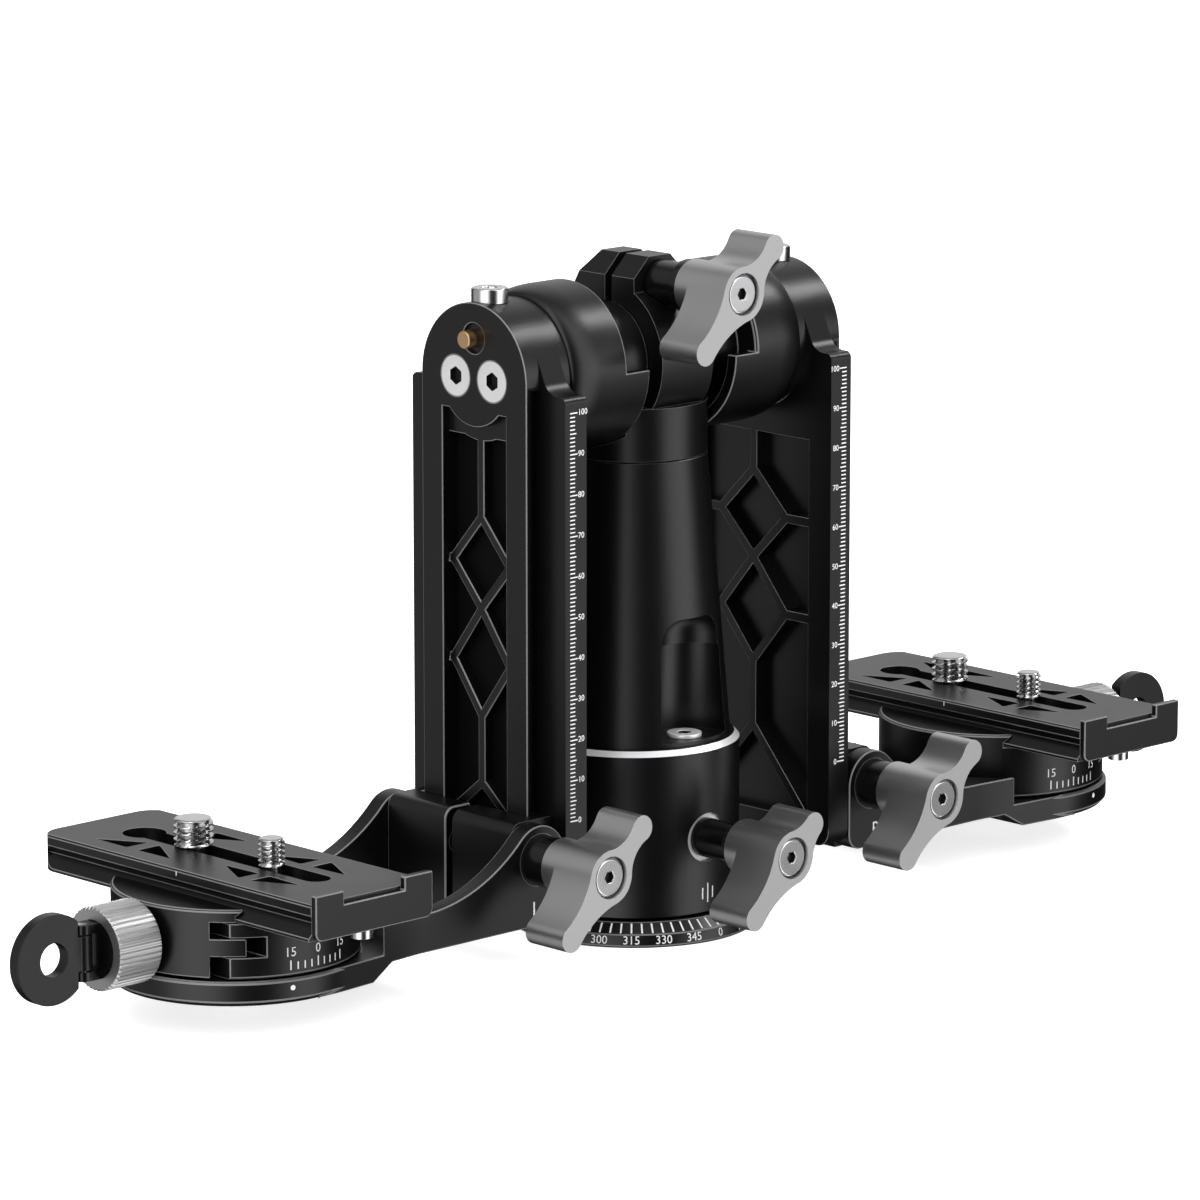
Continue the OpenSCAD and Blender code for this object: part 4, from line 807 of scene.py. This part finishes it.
def knurled_knob(node):
    """A turned ring with straight ribs over its whole length and chamfered ends."""
    low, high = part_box(node)
    middle, radius, length = (low + high) / 2, (high.z - low.z) / 2, high.x - low.x
    knob = lying_cylinder(middle, radius, length, RIBS * 4)
    bpy.ops.object.mode_set(mode="EDIT")
    bpy.ops.mesh.select_mode(type="VERT")
    bpy.ops.mesh.select_all(action="DESELECT")
    bpy.ops.object.mode_set(mode="OBJECT")
    for vertex in knob.data.vertices:
        turn = math.atan2(vertex.co.y - middle.y, vertex.co.z - middle.z)
        vertex.select = round(turn / math.tau * RIBS * 4) % 4 < 2
    bpy.ops.object.mode_set(mode="EDIT")
    floor_r = 1 - RIB_DEPTH * MM / radius
    bpy.ops.transform.resize(value=(1, floor_r, floor_r), center_override=middle)
    bpy.ops.object.mode_set(mode="OBJECT")
    blank = lying_cylinder(middle, radius * 1.002, length, 96)
    round_edges(blank, 0.5, 1, lambda a, b: abs(a.x - b.x) < 0.01)
    carve(knob, blank, "INTERSECT")
    carve(knob, lying_cylinder(middle, KNOB_BORE_R * MM, length * 1.2, 96))
    make_active(knob)
    bpy.ops.object.shade_smooth_by_angle(angle=math.radians(24))
    return knob


WALL_X, WALL_OPEN = 23.0, 2.8
SLOT_X, SLOT_DEEPER = 14.7, 1.6
FINGER_X, FINGER_SHORT = 15.3, 1.9
FINGER_Y, FINGER_H = 13.6, 4.2
GAP = 0.3
CLAMP_LOW, CLAMP_HIGH = 0, 40


def fingered_clamp(side, sign):
    """The bed and its moving jaw, set apart by the room that the jaw still has when a plate is in it."""
    knob_low, knob_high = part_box("clamp_knob_" + side)
    finger_z = (knob_low.z + knob_high.z) / 2 / MM
    bed, jaw = solid_copy("clamp_base_" + side), solid_copy("clamp_jaw_" + side)

    def cut(piece, near, far, inner_y, low_z, high_z):
        """Cuts from one distance to another towards the knob, beyond a distance from the middle plane."""
        ends = sorted((sign * (CLAMP_X + near), sign * (CLAMP_X + far)))
        for toward in (-1, 1):
            across = sorted((toward * inner_y, toward * (CLAMP_R + 1)))
            carve(piece, block((ends[0], across[0], low_z), (ends[1], across[1], high_z)))

    slot_low, slot_high = finger_z - FINGER_H / 2 - GAP, finger_z + FINGER_H / 2 + GAP
    cut(bed, WALL_X - WALL_OPEN, WALL_X + 1, -0.5, CLAMP_LOW, CLAMP_HIGH)
    cut(bed, SLOT_X - SLOT_DEEPER, WALL_X, FINGER_Y - GAP, slot_low, slot_high)
    cut(jaw, FINGER_X - 1, FINGER_X + FINGER_SHORT, FINGER_Y - 1, CLAMP_LOW, slot_high)
    break_edges(bed, 0.22, clamp=False)
    break_edges(jaw, 0.22, clamp=False)
    stand_for(bed, "clamp_base_" + side, satin_black, edge=painted_edge_highlight)
    stand_for(jaw, "clamp_jaw_" + side, satin_black, edge=painted_edge_highlight)


TURN_STEPS = 4
TURN_TICK_Z, TURN_TICK_W, TURN_TICK_TALL, TURN_TICK_LOW = 17.4, 0.34, 2.3, 1.8
TURN_NUMBER_Z, TURN_NUMBER_H = 21.6, 2.3


def clamp_scale(side, sign):
    """Ticks round the bed's front from one end of its turn to the other, numbered at the ends and at zero."""
    marks = []
    for step in range(-TURN_STEPS, TURN_STEPS + 1):
        degrees = step * CLAMP_TURN / TURN_STEPS
        angle = math.radians(-90 + degrees)
        tall = step % TURN_STEPS == 0
        length = TURN_TICK_TALL if tall else TURN_TICK_LOW
        place = (sign * CLAMP_X + CLAMP_R * math.cos(angle), CLAMP_R * math.sin(angle),
                 TURN_TICK_Z + length / 2)
        marks.append(stroke(length, TURN_TICK_W, place, on_round_wall(angle)))
        if tall:
            number = word(str(round(abs(degrees))), TURN_NUMBER_H)
            marks.append(wrap_round(number, CLAMP_R, angle, TURN_NUMBER_Z, (sign * CLAMP_X, 0)))
    printed("clamp_scale_" + side, marks, "clamp_" + side)


for side, sign in SIDES.items():
    fingered_clamp(side, sign)
    stand_for(knurled_knob("clamp_knob_" + side), "clamp_knob_" + side, blasted_silver)
    machined("clamp_stud_" + side, 0.8, black_steel, steps=3)
    machined("paddle_" + side, 1.2, satin_black, steps=4)
    refinish("paddle_pin_" + side, bright_steel)
    clamp_scale(side, sign)


# Quick-release plates. Black dovetail plates with a screw slot, triangular cut-outs and an
# end lip. Steel screws under them stop them from sliding out of the clamp.
# Half sections of a plate and of its lip, as distances out from the middle and heights.
PLATE_SIDE = [(18.9, 29.6), (18.9, 30.4), (15.9, 33.4), (18.1, 35.6), (18.1, 37.7), (17.6, 38.2)]
LIP_SIDE = [(18.1, 29.65), (18.1, 40.5), (9.4, 40.5), (9.4, 37.3)]
LIP_FRONT, LIP_T, PLATE_BACK = -49.3, 1.8, 51.0
SLOT_HALF, SLOT_FRONT, KEYHOLE_R, KEYHOLE_Y = 3.45, -29.0, 5.3, 33.0
CHANNEL_HALF, CHANNEL_FRONT, CHANNEL_BACK, CHANNEL_TOP = 7.3, -36.3, 38.0, 33.6
# Each row's middle, then one hole's corners: out from the slot, and off the row's middle.
CUT_OUTS = [(22.8, (12.4, 2.0), (5.5, 2.0), (12.2, 13.7)), (-18, (6.5, 1.9), (12.8, 1.9), (7.0, 13.3))]
CUT_OUT_REACH, CUT_OUT_ROUND = 14.0, 0.7
BACK_ROUND, LIP_ROUND = 7.0, 2.0
BELOW, ABOVE = 28.0, 42.0


def prism(corners, run):
    """A bar whose end face has these corners, drawn out along a run, in mm."""
    start_clean()
    bpy.ops.mesh.primitive_circle_add(vertices=len(corners), fill_type="NGON")
    bar = bpy.context.object
    for spot, corner in zip(bar.data.vertices, corners):
        spot.co = Vector(corner) * MM
    bpy.ops.object.mode_set(mode="EDIT")
    bpy.ops.mesh.select_all(action="SELECT")
    bpy.ops.mesh.extrude_region_move(TRANSFORM_OT_translate={"value": Vector(run) * MM})
    bpy.ops.mesh.select_all(action="SELECT")
    bpy.ops.mesh.normals_make_consistent(inside=False)
    bpy.ops.object.mode_set(mode="OBJECT")
    return bar


def across_plate(x, side, y):
    """Corners of a section that is the same on both sides of the plate's middle."""
    both = side + [(-out, up) for out, up in reversed(side)]
    return [(x + out, y, up) for out, up in both]


def keyhole_slot(x):
    """The screws' slot, round in front and with the wider hole for their heads behind."""
    neck = math.acos(SLOT_HALF / KEYHOLE_R)
    front = [(SLOT_HALF, SLOT_FRONT, math.pi * (1 + i / 16)) for i in range(17)]
    back = [(KEYHOLE_R, KEYHOLE_Y, -neck + (math.pi + 2 * neck) * i / 28) for i in range(29)]
    return prism([(x + r * math.cos(t), y + r * math.sin(t), BELOW) for r, y, t in front + back],
                 (0, 0, ABOVE - BELOW))


def cut_outs(x):
    """Three-cornered holes with round corners: a pair each side of the slot, in two rows."""
    holes = []
    for middle, *corners in CUT_OUTS:
        for across in (-1, 1):
            for along in (-1, 1):
                ends = [(x + across * out, middle + along * off, BELOW) for out, off in corners]
                holes.append(prism(ends, (0, 0, ABOVE - BELOW)))
                round_edges(holes[-1], CUT_OUT_ROUND, 4, lambda a, b: runs_along(2, a, b))
    return join_pieces("cut_outs", holes)


def milled_plate(side, x):
    """A dovetail bar with round back corners, its lip, slot, channel and cut-outs."""
    behind_lip = LIP_FRONT + LIP_T - 0.1
    plate = prism(across_plate(x, PLATE_SIDE, behind_lip), (0, PLATE_BACK + 1 - behind_lip, 0))
    half = PLATE_SIDE[0][0] + 0.05
    blank = block((x - half, LIP_FRONT - 9, BELOW), (x + half, PLATE_BACK, ABOVE))
    round_edges(blank, BACK_ROUND, 8, lambda a, b: runs_along(2, a, b) and a.y > PLATE_BACK - 0.1)
    carve(plate, blank, "INTERSECT")
    lip = prism(across_plate(x, LIP_SIDE, LIP_FRONT), (0, LIP_T, 0))
    round_edges(lip, LIP_ROUND, 5, lambda a, b: runs_along(1, a, b) and a.z < LIP_SIDE[0][1] + 0.1)
    break_edges(plate, 0.3)
    break_edges(lip, 0.3)
    carve(plate, lip, "UNION")
    carve(plate, keyhole_slot(x))
    carve(plate, block((x - CHANNEL_HALF, CHANNEL_FRONT, BELOW),
                       (x + CHANNEL_HALF, CHANNEL_BACK, CHANNEL_TOP)))
    carve(plate, cut_outs(x))
    # The rounds along the plate's top outline take slot 1, the grey painted edge highlight.
    round_edges(plate, 0.25, 2, lambda a, b: min(a.z, b.z) > PLATE_SIDE[-1][1] - 0.01
                and max(abs(a.x - x), abs(b.x - x)) < CUT_OUT_REACH, finish=1)
    smooth_rounds(plate, 40)
    stand_for(plate, "plate_" + side, satin_black, edge=painted_edge_highlight)


PLATE_TICK_L, PLATE_TICK_W, PLATE_TICK_Z = 1.1, 0.3, 37.2
FACING_LEFT = Matrix(((0, 0, -1), (0, -1, 0), (-1, 0, 0)))
for side, sign in SIDES.items():
    milled_plate(side, sign * CLAMP_X)
    machined("plate_stop_screws_" + side, 0.25, bright_steel)
    left_face = (sign * CLAMP_X - PLATE_SIDE[3][0], 0, PLATE_TICK_Z)
    tick = stroke(PLATE_TICK_L, PLATE_TICK_W, left_face, FACING_LEFT)
    printed("plate_tick_" + side, [tick], "plate_" + side)


# Camera screws. Turned stainless steel with a slotted head in the plate's channel, and a
# real thread above it: 3/8 inch with 16 turns to the inch and 1/4 inch with 20.
INCH = 25.4
THREAD_LOW = 38.5
# Each screw's turns to the inch and its place along the plate.
CAMERA_SCREWS = {"screw_large_": (16, 14.9), "screw_small_": (20, -13.2)}
# A thread's groove: half its width outside and at its root, and its depth, as shares of the pitch.
GROOVE_HALF, ROOT_HALF, GROOVE_DEPTH = 0.40, 0.07, 0.6
GROOVE_WIDER, GROOVE_OUT = 0.06, 0.12


def thread_tool(radius, pitch, turns, x, y, z):
    """A coil in the shape of a thread's groove, in mm, about an upright axis."""
    start_clean()
    bpy.ops.mesh.primitive_plane_add(size=2)
    coil = bpy.context.object
    for corner in coil.data.vertices:
        outer = corner.co.x > 0
        half = GROOVE_HALF * pitch + GROOVE_WIDER if outer else ROOT_HALF * pitch
        reach = radius + GROOVE_OUT if outer else radius - GROOVE_DEPTH * pitch
        corner.co = (reach * MM, 0, math.copysign(half, corner.co.y) * MM)
    bpy.ops.object.mode_set(mode="EDIT")
    bpy.ops.mesh.select_all(action="SELECT")
    bpy.ops.mesh.delete(type="ONLY_FACE")
    bpy.ops.object.mode_set(mode="OBJECT")
    helix = coil.modifiers.new("helix", "SCREW")
    helix.axis = "Z"
    helix.screw_offset = pitch * MM
    helix.iterations = turns
    helix.steps = helix.render_steps = 40
    bpy.ops.object.modifier_apply(modifier=helix.name)
    bpy.ops.object.mode_set(mode="EDIT")
    bpy.ops.mesh.select_all(action="SELECT")
    bpy.ops.mesh.fill_holes(sides=6)
    bpy.ops.mesh.normals_make_consistent(inside=False)
    bpy.ops.object.mode_set(mode="OBJECT")
    coil.data.transform(Matrix.Translation(Vector((x, y, z)) * MM))
    return coil


def camera_screw(node, turns_per_inch, x, y):
    """A camera screw with its thread cut."""
    low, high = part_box(node)
    pitch = INCH / turns_per_inch
    screw = solid_copy(node)
    spots = [v.co / MM for v in screw.data.vertices]
    shank_r = max(math.hypot(s.x - x, s.y - y) for s in spots if s.z > THREAD_LOW + 1)
    break_edges(screw, 0.3)
    turns = math.ceil((high.z / MM - THREAD_LOW) / pitch) + 2
    carve(screw, thread_tool(shank_r, pitch, turns, x, y, THREAD_LOW - pitch))
    make_active(screw)
    bpy.ops.object.shade_smooth_by_angle(angle=math.radians(30))
    stand_for(screw, node, bright_steel)


for side, sign in SIDES.items():
    for name, (turns_per_inch, y) in CAMERA_SCREWS.items():
        camera_screw(name + side, turns_per_inch, sign * CLAMP_X, y)
